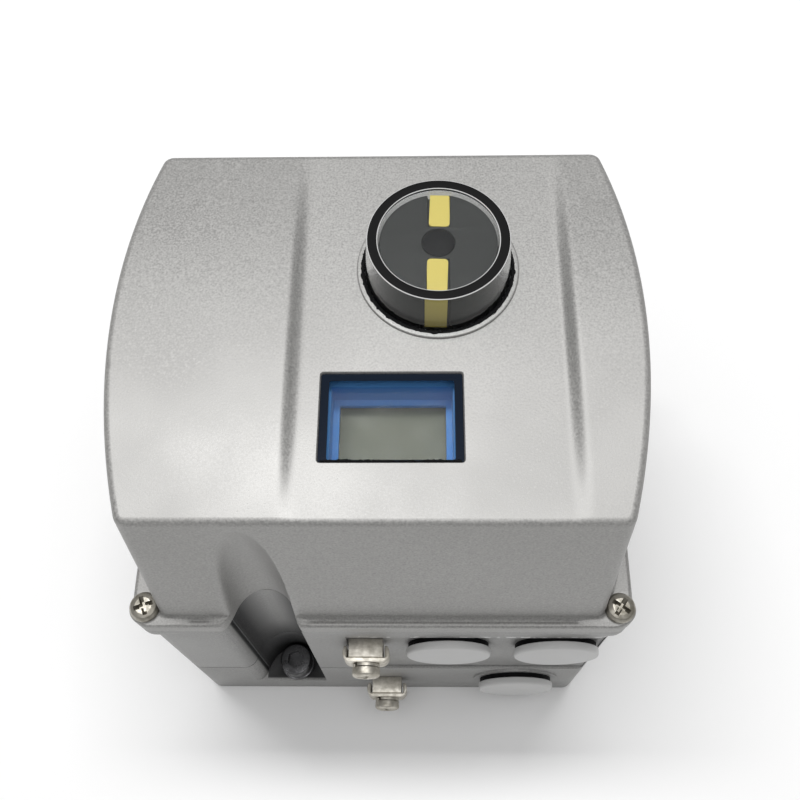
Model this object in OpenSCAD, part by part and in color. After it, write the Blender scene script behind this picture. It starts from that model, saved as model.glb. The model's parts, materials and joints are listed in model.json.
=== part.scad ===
// Digital valve positioner on a limit switch extension housing.
// Millimetres, +Z up. The origin is on the feedback shaft's axis, in the mounting face.
// The case pieces are drawn about the case centre and moved there by on_case().

/* [Case] */
// Width across the side walls
case_w = 123.2; // [121:0.2:126]
// Length across the front and back walls
case_l = 125.2; // [124:0.2:130]
// Height of the extension housing
ext_h = 35; // [34:0.5:42]
// Height of the main housing
base_h = 51; // [49:0.5:60]
// Thickness of the housing walls
wall = 4; // [3.6:0.1:4.6]
// Thickness of the housing floors
floor_t = 5; // [4:0.5:7]
// Radius of the case corners in plan
case_r = 4; // [3.5:0.5:6]
// Feedback shaft to the right of the case centre
shaft_dx = 14.6; // [13:0.2:16]
// Feedback shaft behind the case centre
shaft_dy = 15; // [14:0.2:16]
// Fine step along the seam between the two housings
seam_step = 0.5; // [0.3:0.1:1]

/* [Cover] */
// Height of the cover from the seam to its flat band
cover_h = 52.4; // [50:0.2:56]
// Length of the cover's top
cover_l = 102; // [98:0.5:104]
// Length of the cover's skirt at its foot
cover_foot_l = 119.6; // [116:0.2:120]
// Width of the cover at its corners
cover_corner_w = 113.6; // [112:0.2:115]
// Width of the cover's top at the middle of its arched sides
cover_top_w = 128; // [124:0.5:130]
// Wall of the cover
cover_wall = 3; // [2.6:0.1:3.4]
// Radius of the cover's upright corners
cover_r = 3; // [2:0.5:4]
// Soft edge round the top of the cover
cover_edge = 1.5; // [1:0.1:2]
// Width of the flange that carries the screws
flange_w = 129.8; // [128:0.2:132]
// Height of the flange
flange_h = 5; // [4:0.2:6]
// Corner radius of the flange
flange_r = 5; // [4:0.5:6]
// Rise of the arched wings over the flat band
wing_rise = 2.5; // [1.5:0.1:3.5]
// Left edge of the flat band, from the case centre
band_left = 17; // [15:0.5:20]
// Right edge of the flat band, from the case centre
band_right = 43; // [40:0.5:46]
// Width of the slope between band and wing
crease_w = 8; // [5:0.2:10]
// Cover screw, distance from the flange's side
screw_in_x = 3.7; // [3.4:0.1:4.2]
// Cover screw, distance from the flange's front
screw_in_y = 5; // [4.6:0.1:5.6]
// Radius of the cover screw's shank
screw_r = 2; // [1.5:0.1:2.2]
// Radius of the cover screw's head
screw_head_r = 3.9; // [3.4:0.1:4]

/* [Access channels] */
// Channel axis, sideways from the case centre
access_x = 30.6; // [28:0.2:33]
// Channel axis, inwards from the front wall
access_in = 1.4; // [0.5:0.1:2.5]
// Radius of the scallop in the cover
scallop_r = 8.4; // [7:0.1:9]
// Radius of the channel in the housings
channel_r = 9.7; // [8.8:0.1:10.4]
// Radius of the rounded outer edge of the channel
channel_edge = 4; // [2:0.5:5]
// Height of the ledge under the mounting screw
ledge_h = 12; // [9:0.5:16]
// Radius of the mounting screw
mount_screw_r = 3; // [2.5:0.1:3.2]
// Radius of the mounting screw's washer
mount_washer_r = 5.4; // [5.2:0.1:5.8]

/* [Mounting face] */
// Spacing of the tapped bracket holes
bracket_pitch = 50; // [48:0.5:54]
// Radius of the tapped bracket holes
bracket_hole_r = 2.5; // [2:0.1:3]
// Depth of the tapped bracket holes
bracket_hole_d = 12; // [9:0.5:12.5]
// Radius of the shaft pocket
pocket_r = 22; // [20:0.5:23]
// Depth of the shaft pocket
pocket_d = 14; // [12:0.5:14]
// Radius of the pneumatic ports
port_r = 5.9; // [5:0.1:6.2]
// Depth of the pneumatic ports
port_d = 10; // [8:0.5:11]
// Spacing of the pneumatic ports
port_pitch = 20; // [18:0.5:22]

/* [Feedback shaft] */
// Radius of the drive stub
stub_r = 5; // [4:0.1:5.4]
// Radius of the shaft in its bushes
shaft_r = 6; // [5.6:0.1:6.6]
// Radius of the upper shaft
spindle_r = 4; // [3.4:0.1:4.6]
// Running clearance of the shaft, on the radius
run_gap = 0.04; // [0.02:0.01:0.08]
// Wall of the plain bushes
bush_wall = 2; // [1.5:0.1:2.5]

/* [Indicator] */
// Outer radius of the clear window at its top
window_r = 16.9; // [16.4:0.1:17.4]
// Outer radius of the clear window at its foot
window_foot_r = 18; // [17.6:0.1:18.4]
// Height of the window over the cover's band
window_h = 12.8; // [11:0.2:15]
// Wall of the window
window_wall = 1.5; // [1.2:0.1:1.8]
// Radial gap between window and cover, filled by the seal
window_gap = 0.8; // [0.5:0.1:1]
// Radius of the indicator drum
drum_r = 14; // [13:0.1:14.2]
// Space between the drum and the window's top
drum_clear = 0.9; // [0.6:0.1:1.5]
// Width of the indicator stripes
stripe_w = 4.9; // [3:0.1:6]
// Depth of the stripe inlays
stripe_t = 0.6; // [0.4:0.1:0.9]
// Inner end of the stripes, from the axis
stripe_in = 4.6; // [4.3:0.1:6]
// Radius of the indicator screw's head
cap_r = 3.9; // [3.2:0.1:4]

/* [Display] */
// Width of the display opening
display_w = 33; // [30:0.2:35]
// Length of the display opening
display_l = 22.4; // [20:0.2:24]
// Display to the right of the case centre
display_x = 3.6; // [1:0.2:6]
// Display in front of the case centre
display_y = 25; // [24:0.2:26]
// Border that covers the edge of the display pane
display_border = 2.2; // [1:0.1:3]
// Depth of the display under the band
display_depth = 13.5; // [12:0.5:16]
// Radius of the keys
key_r = 3; // [2.4:0.1:3.4]
// Travel of the keys
key_travel = 0.5; // [0.3:0.1:0.6]

/* [Front wall] */
// Radius of the conduit plug heads
plug_r = 11.65; // [11:0.05:12.4]
// Thickness of the conduit plug heads
plug_t = 1.9; // [1.5:0.1:3]
// Thickness of the plug seals
plug_seal_t = 1.4; // [1:0.1:2]
// Right plug, distance from the right wall
plug_in = 14.1; // [13:0.1:15]
// Spacing of the two main plugs
plug_pitch = 29.7; // [27:0.1:31]
// Height of the main plugs over the seam
plug_up = 31.6; // [28:0.2:33]
// Lower plug, distance from the right wall
low_plug_in = 21.4; // [20:0.2:24]
// Height of the lower plug over the mounting face
low_plug_up = 20.6; // [20:0.2:21]
// Depth of the milled pad behind the plugs
pad_d = 0.9; // [0.5:0.1:1.2]
// Upper earth terminal, left of the inner plug
earth_x = 22.6; // [21:0.2:24]
// Lower earth terminal, right of the upper one
low_earth_x = 4; // [3:0.2:5]
// Width of the earth terminal blocks
earth_w = 9.3; // [8:0.1:10]
// Projection of the earth terminal blocks
earth_out = 4.9; // [4:0.1:6]
// Height of the earth terminal blocks
earth_h = 9.5; // [8:0.1:11]
// Radius of the earth screw heads
earth_head_r = 3.8; // [3.2:0.1:4]

/* [Hidden] */
$fn = 64;
// Thickness of the slices that a loft is stretched between
slice = 0.01;
// Clearance between two still pieces, on the radius
snug = 0.03;
// Overshoot of a cut past a face
over = 1;
// Segments of the long arcs
arc_fn = 240;
// Space between the mounting washer and the channel's end
washer_gap = 0.2;

// Levels over the mounting face
seam_z = ext_h;
cover_z = ext_h + base_h;
top_z = cover_z + cover_h;
deck_z = seam_z + floor_t;
ceiling_z = top_z - cover_wall;

// Half sizes
half_w = case_w / 2;
half_l = case_l / 2;
access_y = half_l - access_in;
mount_screw_y = access_y - channel_r + mount_washer_r + washer_gap;
cover_screw_x = flange_w / 2 - screw_in_x;
cover_screw_y = half_l - screw_in_y;

// Arched sides of the cover: one radius at every height
side_sag = (cover_top_w - cover_corner_w) / 2;
side_r = (pow(cover_l / 2, 2) + pow(side_sag, 2)) / (2 * side_sag);
wing_r = (pow(cover_l / 2, 2) + pow(wing_rise, 2)) / (2 * wing_rise);

// Inner corner radius of the walls, which leaves room for the cover screws
inner_r = 9;

// Gaskets
gasket_in = 1;
gasket_out = 3;
gasket_least = 0.8;
gasket_h = 2;

// Screw bosses and posts inside the case
rim_h = 4;
ear_drop = 12;
screw_len = 7.5;
screw_head_h = 2.6;
head_dome = 0.8;
head_gap = 0.3;
spot_h = 8;
post_r = 4;
post_x = 47;
post_y = 46;
post_drill_r = 1.5;
post_drill_d = 9;
ext_post_r = 5;
ext_screw_r = 2.5;
ext_screw_d = 12;
ext_head_r = 4.25;
ext_head_h = 5;
ext_screw_in = 10.6;
ext_screw_y = half_l - ext_screw_in;
ext_screw_x = [-8, 22];
ext_screws_at = [for (x = ext_screw_x, side = [-1, 1]) [-side * x, side * ext_screw_y]];
hex_af = 4;
mount_washer_t = 1.6;
mount_head_r = 5 * mount_screw_r / 3;
mount_head_h = 2 * mount_screw_r;
mount_af = 5 * mount_screw_r / 3;

// Shaft levels
ext_floor = 8;
boss_over = 4;
boss_top = pocket_d + boss_over;
bracket_boss_r = 7;
hub_wall = 4;
hub_r = shaft_r + bush_wall + hub_wall;
seal_out = 2;
seal_r = shaft_r + bush_wall + seal_out;
seal_h = 3;
hub_over = 8;
hub_top = boss_top + hub_over;
cam_t = 2.5;
cam_lift = 1;
cam_z = hub_top + cam_lift;
cam_gap = 1;
cam_r = 14;
cam_low = 2;
upper_hub_h = 12;
upper_hub_top = seam_z + upper_hub_h;
tongue_z = 1.5;
tongue_h = 4;
tongue_w = 4;
stub_step = 1;
stub_top = pocket_d - stub_step;
clip_t = 1.2;
clip_gap = 0.3;
clip_z = upper_hub_top + clip_gap;
clip_cut = 0.8;
clip_out = 2.5;
magnet_gap = 4;
magnet_z = upper_hub_top + magnet_gap;
magnet_h = 5;
magnet_r = 11;
sensor_gap = 3;
sensor_z = magnet_z + magnet_h + sensor_gap;
board_t = 1.6;
sensor_w = 36;
sensor_l = 32;
spindle_up = 4;
spindle_z = sensor_z + spindle_up;
main_board_up = 12;
main_board_z = sensor_z + main_board_up;
main_board_w = 56;
main_board_l = 68;
main_board_x = 12;
main_board_y = 6;
board_r = 2;
board_in = 4;
chip_w = 14;
chip_h = 3;
chip_x = 14;
chip_y = 17;
pillar_r = 3;
pillar_drill_r = 1.2;
pillar_drill_d = 6;

// Indicator levels
window_top = top_z + window_h;
window_hole_r = window_foot_r + window_gap;
window_flange_w = 3.4;
window_flange_r = window_hole_r + window_flange_w;
window_flange_t = 2.4;
window_seal_t = 1;
window_flange_z = ceiling_z - window_seal_t - window_flange_t;
rim_w = 1.1;
rim_r = window_hole_r + rim_w;
rim_rise = 0.7;
retainer_t = 2;
retainer_edge = 0.5;
retainer_r = window_flange_r + retainer_edge;
retainer_lobe_r = 3.4;
retainer_boss_r = 3;
retainer_screw_r = 1.5;
retainer_out = 3.6;
retainer_at = window_flange_r + retainer_out;
retainer_screw_len = 4.6;
drum_top = window_top - window_wall - drum_clear;
drum_sink = 2;
drum_foot = top_z - drum_sink;
drum_wall = 2;
drum_hub_r = 7;
cap_h = 1.2;
drum_top_t = 4;
spindle_top = drum_top - drum_top_t;
cap_shank_r = 2;
cap_shank_len = 10;

// Display levels
ledge_t = 2;
pane_over = 2;
seal_t = 0.8;
pane_t = 1.8;
pane_w = display_w + 2 * pane_over;
pane_l = display_l + 2 * pane_over;
bezel_t = 2;
bezel_z = top_z - ledge_t - seal_t - pane_t - bezel_t;
bezel_side = 7.5;
bezel_end = 4.5;
bezel_w = display_w + 2 * bezel_side;
bezel_l = display_l + 2 * bezel_end;
bezel_boss_r = 2.6;
bezel_screw_r = 1;
bezel_at_x = bezel_w / 2 - bezel_boss_r;
bezel_at_y = bezel_l / 2 - bezel_boss_r;
view_w = display_w - 2 * display_border;
view_extra = 0.8;
view_l = display_l - 2 * display_border + view_extra;
shroud_wall = 1.4;
shroud_lip = 1.5;
lcd_z = top_z - display_depth;
lcd_t = 3;
lcd_gap = 0.4;
stand_z = lcd_z - lcd_t - board_t;
stand_w = 46;
stand_l = 37;
stand_in = 5.4;
stand_y = display_y + stand_in;
stand_wall = 2;
key_pitch = 9.6;
key_in = 19;
key_y = display_y + key_in;
key_rise = 1.6;
key_gap = 0.3;
key_foot = 0.8;
key_foot_w = 0.9;
key_foot_r = key_r + key_foot_w;
key_room = key_travel + key_foot + 2 * key_gap;
keypad_t = 3.4;
keypad_side = 3;
keypad_w = 4 * key_pitch + keypad_side;
keypad_l = 10;
keypad_z = stand_z + board_t;

// Inner cover
tray_t = 2.5;
tray_w = 103;
tray_l = 102;
tray_shaft_r = 7;

// Valve block on the left wall
port_wall = 2;
port_block_t = port_d + port_wall;
port_ends = 24;
port_block_l = 2 * port_pitch + port_ends;
port_block_h = 22;
port_up = 22;
port_z = seam_z + port_up;
passage_r = 2.5;
valve_gasket_t = 0.8;
valve_x0 = -half_w + port_block_t + valve_gasket_t;
valve_w = 24;
valve_ends = 4;
valve_l = port_block_l + valve_ends;
valve_h = 26;
valve_z0 = port_z - valve_h / 2;
bore_r = 5;
spool_gap = 0.05;
spool_room = 6;
spool_l = valve_l - spool_room;
spool_neck_r = 3;
land_l = 8;
land_pitch = 18;
end_cap_t = 3;
end_cap_w = 18;
prestage_w = 18;
prestage_l = 24;
prestage_h = 13;

// Terminal blocks
terminal_w = 40;
terminal_l = 12;
terminal_h = 18;
terminal_in = 28.6;
terminal_y = half_l - terminal_in;
terminal_screw_r = 2;
terminal_screw_h = 1.2;
terminal_count = 6;
strip_w = 30;
strip_l = 10;
strip_h = 13;
strip_x = 11;
strip_in = 27;
strip_y = half_l - strip_in;

// Limit switches
bracket_t = 2;
bracket_w = 64;
bracket_l = 13;
switch_w = 12;
switch_h = 6;
switch_gap = 0.8;
switch_room = 0.2;
post_gap = 0.1;
// The switches reach from the cams to the screw posts
switch_l = half_l - shaft_dy - ext_screw_in - ext_post_r - cam_r - switch_gap - switch_room;
switch_sink = 1.5;
lower_switch_z = cam_z - switch_sink;
switch_step = 2.6;
upper_switch_z = lower_switch_z + switch_step;
bracket_screw_r = 1.5;
bracket_screw_d = 3.5;
bracket_head_r = 2.9;
bracket_head_h = 1.8;

// Front wall pieces
plug_shank_r = 9.8;
plug_shank_l = 9;
plug_bevel = 0.5;
plug_boss_w = 1.6;
plug_boss_r = plug_r + plug_boss_w;
plug_boss_t = 0.6;
pad_drop = 7;
pad_top = cover_z - pad_drop;
plug_z = seam_z + plug_up;
plug_x = half_w - plug_in;
plug_face = half_l - pad_d;
pad_edge = 0.4;
pad_right = plug_x + plug_r + pad_edge;
earth_place = plug_x - plug_pitch - earth_x;
low_earth_place = earth_place + low_earth_x;
pad_reach = 5.2;
pad_left = earth_place - pad_reach;
low_plug_x = half_w - low_plug_in;
low_plug_face = half_l + plug_boss_t;
// Each plug: sideways place, height and the face that it seats on
plugs = [[plug_x - plug_pitch, plug_z, plug_face], [plug_x, plug_z, plug_face],
    [low_plug_x, low_plug_up, low_plug_face]];
earth_drop = 10;
earth_z = pad_top - earth_drop;
low_earth_drop = 5.5;
low_earth_z = low_plug_up - low_earth_drop;
saddle_t = 1.2;
saddle_side = 0.5;
saddle_h = 8;
saddle_leg = 4;
saddle_r = 2.4;
earth_washer_r = 3.7;
earth_washer_t = 1;
earth_screw_r = 2;
earth_head_h = 2.6;
earth_tip = 3.4;
// Each earth terminal: sideways place, height and the face that it seats on
earths = [[earth_place, earth_z, plug_face], [low_earth_place, low_earth_z, half_l]];

// Moves a piece from the case centre to the shaft's frame
module on_case() {
    translate([-shaft_dx, -shaft_dy, 0])
        children();
}

// Puts a piece at the front and, turned half round, at the back of the case
module at_both_ends() {
    for (turn = [0, 180])
        rotate([0, 0, turn])
            children();
}

// Turns a piece drawn upwards so that it points out of the front wall
module on_front(x, z, face) {
    translate([x, -face, z])
        rotate([90, 0, 0])
            children();
}

// Four corners of a rectangle
module at_corners(x, y) {
    for (sx = [-1, 1], sy = [-1, 1])
        translate([sx * x, sy * y, 0])
            children();
}

// Rectangle with round corners
module rounded_rect(w, l, r) {
    square([w - 2 * r, l], center = true);
    square([w, l - 2 * r], center = true);
    for (sx = [-1, 1], sy = [-1, 1])
        translate([sx * (w / 2 - r), sy * (l / 2 - r)])
            circle(r);
}

// Plan of the access channel, open to the front, grown by a wall
module channel_plan(r, grow = 0) {
    translate([-access_x, -access_y])
        circle(r + grow);
    translate([-access_x - r - grow, -half_l - over])
        square([2 * (r + grow), access_in + over]);
}

// Rounded edge where the channel runs out to the front wall
module channel_mouth(r, side) {
    translate([-access_x, -half_l])
        scale([side, 1])
            difference() {
                translate([r - over, -over])
                    square([channel_edge + over, channel_edge + over]);
                translate([r + channel_edge, channel_edge])
                    circle(channel_edge);
                translate([r - 2 * over, channel_edge])
                    square(channel_edge + 3 * over);
            }
}

// Plan of the case walls, moved inwards, with both channels kept clear
module case_plan(inset) {
    difference() {
        rounded_rect(case_w - 2 * inset, case_l - 2 * inset, inner_r + wall - inset);
        at_both_ends()
            channel_plan(channel_r, inset);
    }
}

// Band of a gasket along the top of the case walls, led round the cover screws
module gasket_plan() {
    difference() {
        case_plan(gasket_in);
        difference() {
            case_plan(gasket_out);
            at_corners(cover_screw_x, cover_screw_y)
                circle(screw_r + head_gap + gasket_least);
        }
        at_corners(cover_screw_x, cover_screw_y)
            circle(screw_r + head_gap);
    }
}

// Barrel plan of the cover: straight front and back, arched sides
module barrel(l, inset) {
    arc_x = cover_corner_w / 2 - sqrt(pow(side_r, 2) - pow(l / 2, 2));
    intersection() {
        square([2 * case_w, l - 2 * inset], center = true);
        translate([arc_x, 0])
            circle(side_r - inset, $fn = arc_fn);
        translate([-arc_x, 0])
            circle(side_r - inset, $fn = arc_fn);
    }
}

// Barrel plan with round corners, as one thin slice of a loft
module barrel_slice(l, inset, z) {
    translate([0, 0, z])
        linear_extrude(slice)
            offset(r = cover_r, $fn = 24)
                barrel(l, inset + cover_r);
}

// Plan of the flange that cover and housing share
module flange_plan() {
    rounded_rect(flange_w, case_l, flange_r);
    barrel(cover_foot_l, 0);
}

// Drafted skirt of the cover with a soft top edge
module skirt() {
    hull() {
        barrel_slice(cover_foot_l, 0, 0);
        barrel_slice(cover_l, 0, cover_h - cover_edge);
        barrel_slice(cover_l, cover_edge, cover_h + wing_rise);
    }
}

// Arched wing on one side of the band, with its slope
module wing(side, edge) {
    intersection() {
        translate([0, 0, cover_h + wing_rise - wing_r])
            rotate([0, 90, 0])
                cylinder(r = wing_r, h = 2 * case_w, center = true, $fn = arc_fn);
        rotate([90, 0, 0])
            linear_extrude(2 * case_l, center = true)
                scale([side, 1])
                    polygon([[edge, 0], [edge, cover_h], [edge + crease_w, cover_h + wing_rise + over],
                        [case_w, cover_h + wing_rise + over], [case_w, 0]]);
    }
}

// Flat band and both wings, cut to the skirt
module cover_form() {
    intersection() {
        skirt();
        union() {
            translate([-case_w, -case_l, 0])
                cube([2 * case_w, 2 * case_l, cover_h]);
            wing(-1, band_left);
            wing(1, band_right);
        }
    }
}

// Hollow of the cover, with walls left round the scallops and over the housing rim
module cover_hollow() {
    difference() {
        hull() {
            barrel_slice(cover_foot_l, cover_wall, -slice);
            barrel_slice(cover_l, cover_wall, cover_h - cover_wall - slice);
        }
        at_both_ends()
            translate([0, 0, -over])
                linear_extrude(cover_h)
                    channel_plan(scallop_r, cover_wall);
        translate([0, 0, -over])
            linear_extrude(flange_h + over)
                difference() {
                    square(2 * case_w, center = true);
                    case_plan(wall);
                }
    }
}

// Screw bosses that hang under the top of the cover
module cover_bosses() {
    translate([shaft_dx, shaft_dy, window_flange_z - cover_z])
        for (turn = [45 : 90 : 315])
            rotate([0, 0, turn])
                translate([retainer_at, 0, 0])
                    cylinder(r = retainer_boss_r, h = ceiling_z - window_flange_z + over);
    translate([display_x, -display_y, bezel_z + bezel_t - cover_z])
        at_corners(bezel_at_x, bezel_at_y)
            cylinder(r = bezel_boss_r, h = ceiling_z - bezel_z - bezel_t + over);
}

// Holes for the window, the display and every screw of the cover
module cover_cuts() {
    translate([shaft_dx, shaft_dy, cover_h - cover_wall - over])
        cylinder(r = window_hole_r, h = cover_wall + wing_rise + 2 * over);
    translate([shaft_dx, shaft_dy, window_flange_z - cover_z - over])
        for (turn = [45 : 90 : 315])
            rotate([0, 0, turn])
                translate([retainer_at, 0, 0])
                    cylinder(r = retainer_screw_r + snug, h = retainer_screw_len + over);
    translate([display_x, -display_y, cover_h - cover_wall - over])
        linear_extrude(cover_wall + 2 * over)
            square([display_w, display_l], center = true);
    translate([display_x, -display_y, cover_h - cover_wall - over])
        linear_extrude(cover_wall - ledge_t + over)
            square([pane_w + 2 * snug, pane_l + 2 * snug], center = true);
    translate([display_x, -display_y, bezel_z + bezel_t - cover_z - over])
        at_corners(bezel_at_x, bezel_at_y)
            cylinder(r = bezel_screw_r + snug, h = ceiling_z - bezel_z - bezel_t + over);
    translate([0, 0, -over])
        at_corners(cover_screw_x, cover_screw_y)
            cylinder(r = screw_r + snug, h = flange_h + 2 * over);
    translate([0, 0, flange_h])
        at_corners(cover_screw_x, cover_screw_y)
            cylinder(r = screw_head_r + head_gap, h = spot_h);
}

// Cover: barrel skirt, arched wings, screw flange and scallops for the screwdriver
module main_cover() {
    color("silver")
        on_case()
            translate([0, 0, cover_z])
                difference() {
                    union() {
                        difference() {
                            union() {
                                cover_form();
                                linear_extrude(flange_h)
                                    flange_plan();
                            }
                            cover_hollow();
                        }
                        cover_bosses();
                        translate([shaft_dx, shaft_dy, cover_h - cover_wall])
                            cylinder(r = rim_r, h = cover_wall + rim_rise);
                    }
                    cover_cuts();
                    at_both_ends()
                        translate([0, 0, -over])
                            linear_extrude(cover_h + wing_rise + 2 * over)
                                channel_plan(scallop_r);
                    at_both_ends()
                        translate([0, 0, -over])
                            linear_extrude(flange_h + 2 * over) {
                                channel_mouth(scallop_r, -1);
                                channel_mouth(scallop_r, 1);
                            }
                }
}

// Solid walls of the main housing, its rim, ears, posts and bosses
module housing_body() {
    difference() {
        union() {
            translate([0, 0, seam_z])
                linear_extrude(base_h)
                    rounded_rect(case_w, case_l, case_r);
            translate([0, 0, cover_z - rim_h])
                linear_extrude(rim_h)
                    flange_plan();
            translate([0, 0, cover_z - rim_h - ear_drop])
                at_corners(flange_w / 2 - flange_r, half_l - flange_r)
                    cylinder(r1 = over, r2 = flange_r, h = ear_drop);
        }
        translate([0, 0, deck_z])
            linear_extrude(base_h)
                case_plan(wall);
    }
    translate([0, 0, seam_z]) {
        at_corners(post_x, post_y)
            cylinder(r = post_r, h = base_h);
        translate([shaft_dx, shaft_dy, 0])
            cylinder(r = hub_r, h = upper_hub_top - seam_z);
    }
    translate([shaft_dx, shaft_dy, seam_z])
        at_corners(sensor_w / 2 - pillar_r, sensor_l / 2 - pillar_r)
            cylinder(r = pillar_r, h = sensor_z - seam_z);
    main_board_pillars()
        cylinder(r = pillar_r, h = main_board_z - seam_z);
    translate([-half_w, -port_block_l / 2, port_z - port_block_h / 2])
        cube([port_block_t, port_block_l, port_block_h]);
}

// Pillars under the main board
module main_board_pillars() {
    translate([main_board_x, main_board_y, seam_z])
        at_corners(main_board_w / 2 - board_in, main_board_l / 2 - board_in)
            children();
}

// Three ports in the left wall, each with its passage to the valve
module port_cuts() {
    for (row = [-1, 0, 1])
        translate([-half_w, row * port_pitch, port_z])
            rotate([0, 90, 0]) {
                translate([0, 0, -over])
                    cylinder(r = port_r, h = port_d + over);
                cylinder(r = passage_r, h = port_block_t + over);
            }
}

// Cuts shared by both housings: channels with their rounded mouths
module channel_cuts(from, to) {
    at_both_ends()
        translate([0, 0, from])
            linear_extrude(to - from) {
                channel_plan(channel_r);
                channel_mouth(channel_r, -1);
            }
}

// Main housing: cable entries, port block, shaft hub and board pillars
module main_housing() {
    color("darkgray")
        on_case()
            difference() {
                housing_body();
                channel_cuts(seam_z - over, cover_z + over);
                translate([0, 0, cover_z - gasket_h])
                    linear_extrude(gasket_h + over)
                        gasket_plan();
                translate([pad_left, -half_l - over, seam_z - over])
                    cube([pad_right - pad_left, pad_d + over, pad_top - seam_z + over]);
                port_cuts();
                translate([shaft_dx, shaft_dy, seam_z - over])
                    cylinder(r = shaft_r + bush_wall + snug, h = upper_hub_top - seam_z + 2 * over);
                for (p = [plugs[0], plugs[1]])
                    on_front(p[0], p[1], p[2] - plug_shank_l - snug)
                        cylinder(r = plug_shank_r + snug, h = plug_shank_l + pad_d + over);
                on_front(earth_place, earth_z, plug_face - earth_tip)
                    cylinder(r = earth_screw_r + snug, h = earth_tip + over);
                translate([0, 0, cover_z - screw_len])
                    at_corners(cover_screw_x, cover_screw_y)
                        cylinder(r = screw_r + snug, h = screw_len + over);
                for (at = ext_screws_at)
                    translate([at[0], at[1], seam_z - over])
                        cylinder(r = ext_screw_r + snug, h = floor_t + 2 * over);
                translate([0, 0, cover_z - post_drill_d])
                    at_corners(post_x, post_y)
                        cylinder(r = post_drill_r + snug, h = post_drill_d + over);
                translate([shaft_dx, shaft_dy, sensor_z - pillar_drill_d])
                    at_corners(sensor_w / 2 - pillar_r, sensor_l / 2 - pillar_r)
                        cylinder(r = pillar_drill_r + snug, h = pillar_drill_d + over);
                translate([0, 0, main_board_z - pillar_drill_d - seam_z])
                    main_board_pillars()
                        cylinder(r = pillar_drill_r + snug, h = pillar_drill_d + over);
            }
}

// Solid of the extension housing with its floor, bosses and screw posts
module extension_body() {
    difference() {
        union() {
            linear_extrude(ext_h - seam_step)
                rounded_rect(case_w, case_l, case_r);
            linear_extrude(ext_h)
                rounded_rect(case_w - 2 * seam_step, case_l - 2 * seam_step, case_r - seam_step);
        }
        translate([0, 0, ext_floor])
            linear_extrude(ext_h)
                case_plan(wall);
    }
    for (at = ext_screws_at)
        translate([at[0], at[1], 0])
            cylinder(r = ext_post_r, h = ext_h);
    translate([shaft_dx, shaft_dy, 0]) {
        cylinder(r = pocket_r + wall, h = boss_top);
        cylinder(r = hub_r, h = hub_top);
        at_corners(bracket_pitch / 2, bracket_pitch / 2)
            cylinder(r = bracket_boss_r, h = boss_top);
    }
    on_front(low_plug_x, low_plug_up, half_l - wall)
        cylinder(r = plug_boss_r, h = wall + plug_boss_t);
}

// Extension housing: mounting face, shaft pocket and the limit switch chamber
module extension_housing() {
    color("gray")
        on_case()
            difference() {
                extension_body();
                channel_cuts(ledge_h, ext_h + over);
                translate([0, 0, ext_h - gasket_h])
                    linear_extrude(gasket_h + over)
                        gasket_plan();
                at_both_ends()
                    translate([-access_x, -mount_screw_y, -over])
                        cylinder(r = mount_screw_r + snug, h = ledge_h + 2 * over);
                translate([shaft_dx, shaft_dy, -over]) {
                    cylinder(r = pocket_r, h = pocket_d + over);
                    cylinder(r = seal_r + snug, h = pocket_d + seal_h + over);
                    cylinder(r = shaft_r + bush_wall + snug, h = hub_top + 2 * over);
                    at_corners(bracket_pitch / 2, bracket_pitch / 2)
                        cylinder(r = bracket_hole_r, h = bracket_hole_d + over);
                }
                translate([shaft_dx, shaft_dy, boss_top - bracket_screw_d])
                    for (side = [-1, 1])
                        translate([side * bracket_pitch / 2, bracket_pitch / 2, 0])
                            cylinder(r = bracket_screw_r + snug, h = bracket_screw_d + over);
                on_front(low_plug_x, low_plug_up, low_plug_face - plug_shank_l - snug)
                    cylinder(r = plug_shank_r + snug, h = plug_shank_l + over);
                on_front(low_earth_place, low_earth_z, half_l - earth_tip)
                    cylinder(r = earth_screw_r + snug, h = earth_tip + over);
                for (at = ext_screws_at)
                    translate([at[0], at[1], ext_h - ext_screw_d])
                        cylinder(r = ext_screw_r + snug, h = ext_screw_d + over);
            }
}

// Gasket between the two housings
module extension_gasket() {
    color("black")
        on_case()
            translate([0, 0, seam_z - gasket_h])
                linear_extrude(gasket_h)
                    gasket_plan();
}

// Gasket under the cover
module cover_gasket() {
    color("black")
        on_case()
            translate([0, 0, cover_z - gasket_h])
                linear_extrude(gasket_h)
                    gasket_plan();
}

// Screw drawn upwards: shank below zero, domed head above
module pan_screw(r, len, head_r, head_h) {
    translate([0, 0, -len])
        cylinder(r = r, h = len);
    rotate_extrude()
        polygon([[0, 0], [head_r, 0], [head_r, head_h - head_dome],
            [head_r - head_dome, head_h], [0, head_h]]);
}

// Socket screw drawn upwards, with its hexagon socket
module socket_screw(r, len, head_r, head_h, af) {
    difference() {
        union() {
            translate([0, 0, -len])
                cylinder(r = r, h = len);
            cylinder(r = head_r, h = head_h);
        }
        translate([0, 0, head_h / 2])
            cylinder(r = af / sqrt(3), h = head_h, $fn = 6);
    }
}

// Four screws of the cover
module cover_screws() {
    color("lightgray")
        on_case()
            translate([0, 0, cover_z + flange_h])
                at_corners(cover_screw_x, cover_screw_y)
                    pan_screw(screw_r, flange_h + screw_len - over, screw_head_r, screw_head_h);
}

// Screws that hold the main housing on the extension
module extension_screws() {
    color("lightgray")
        on_case()
            for (at = ext_screws_at)
                translate([at[0], at[1], deck_z])
                    socket_screw(ext_screw_r, floor_t + ext_screw_d - over, ext_head_r, ext_head_h, hex_af);
}

// Mounting screws on the ledges of the access channels
module mounting_screws() {
    color("dimgray")
        on_case()
            at_both_ends()
                translate([-access_x, -mount_screw_y, ledge_h + mount_washer_t])
                    socket_screw(mount_screw_r, ledge_h + mount_washer_t - over, mount_head_r,
                        mount_head_h, mount_af);
}

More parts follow.
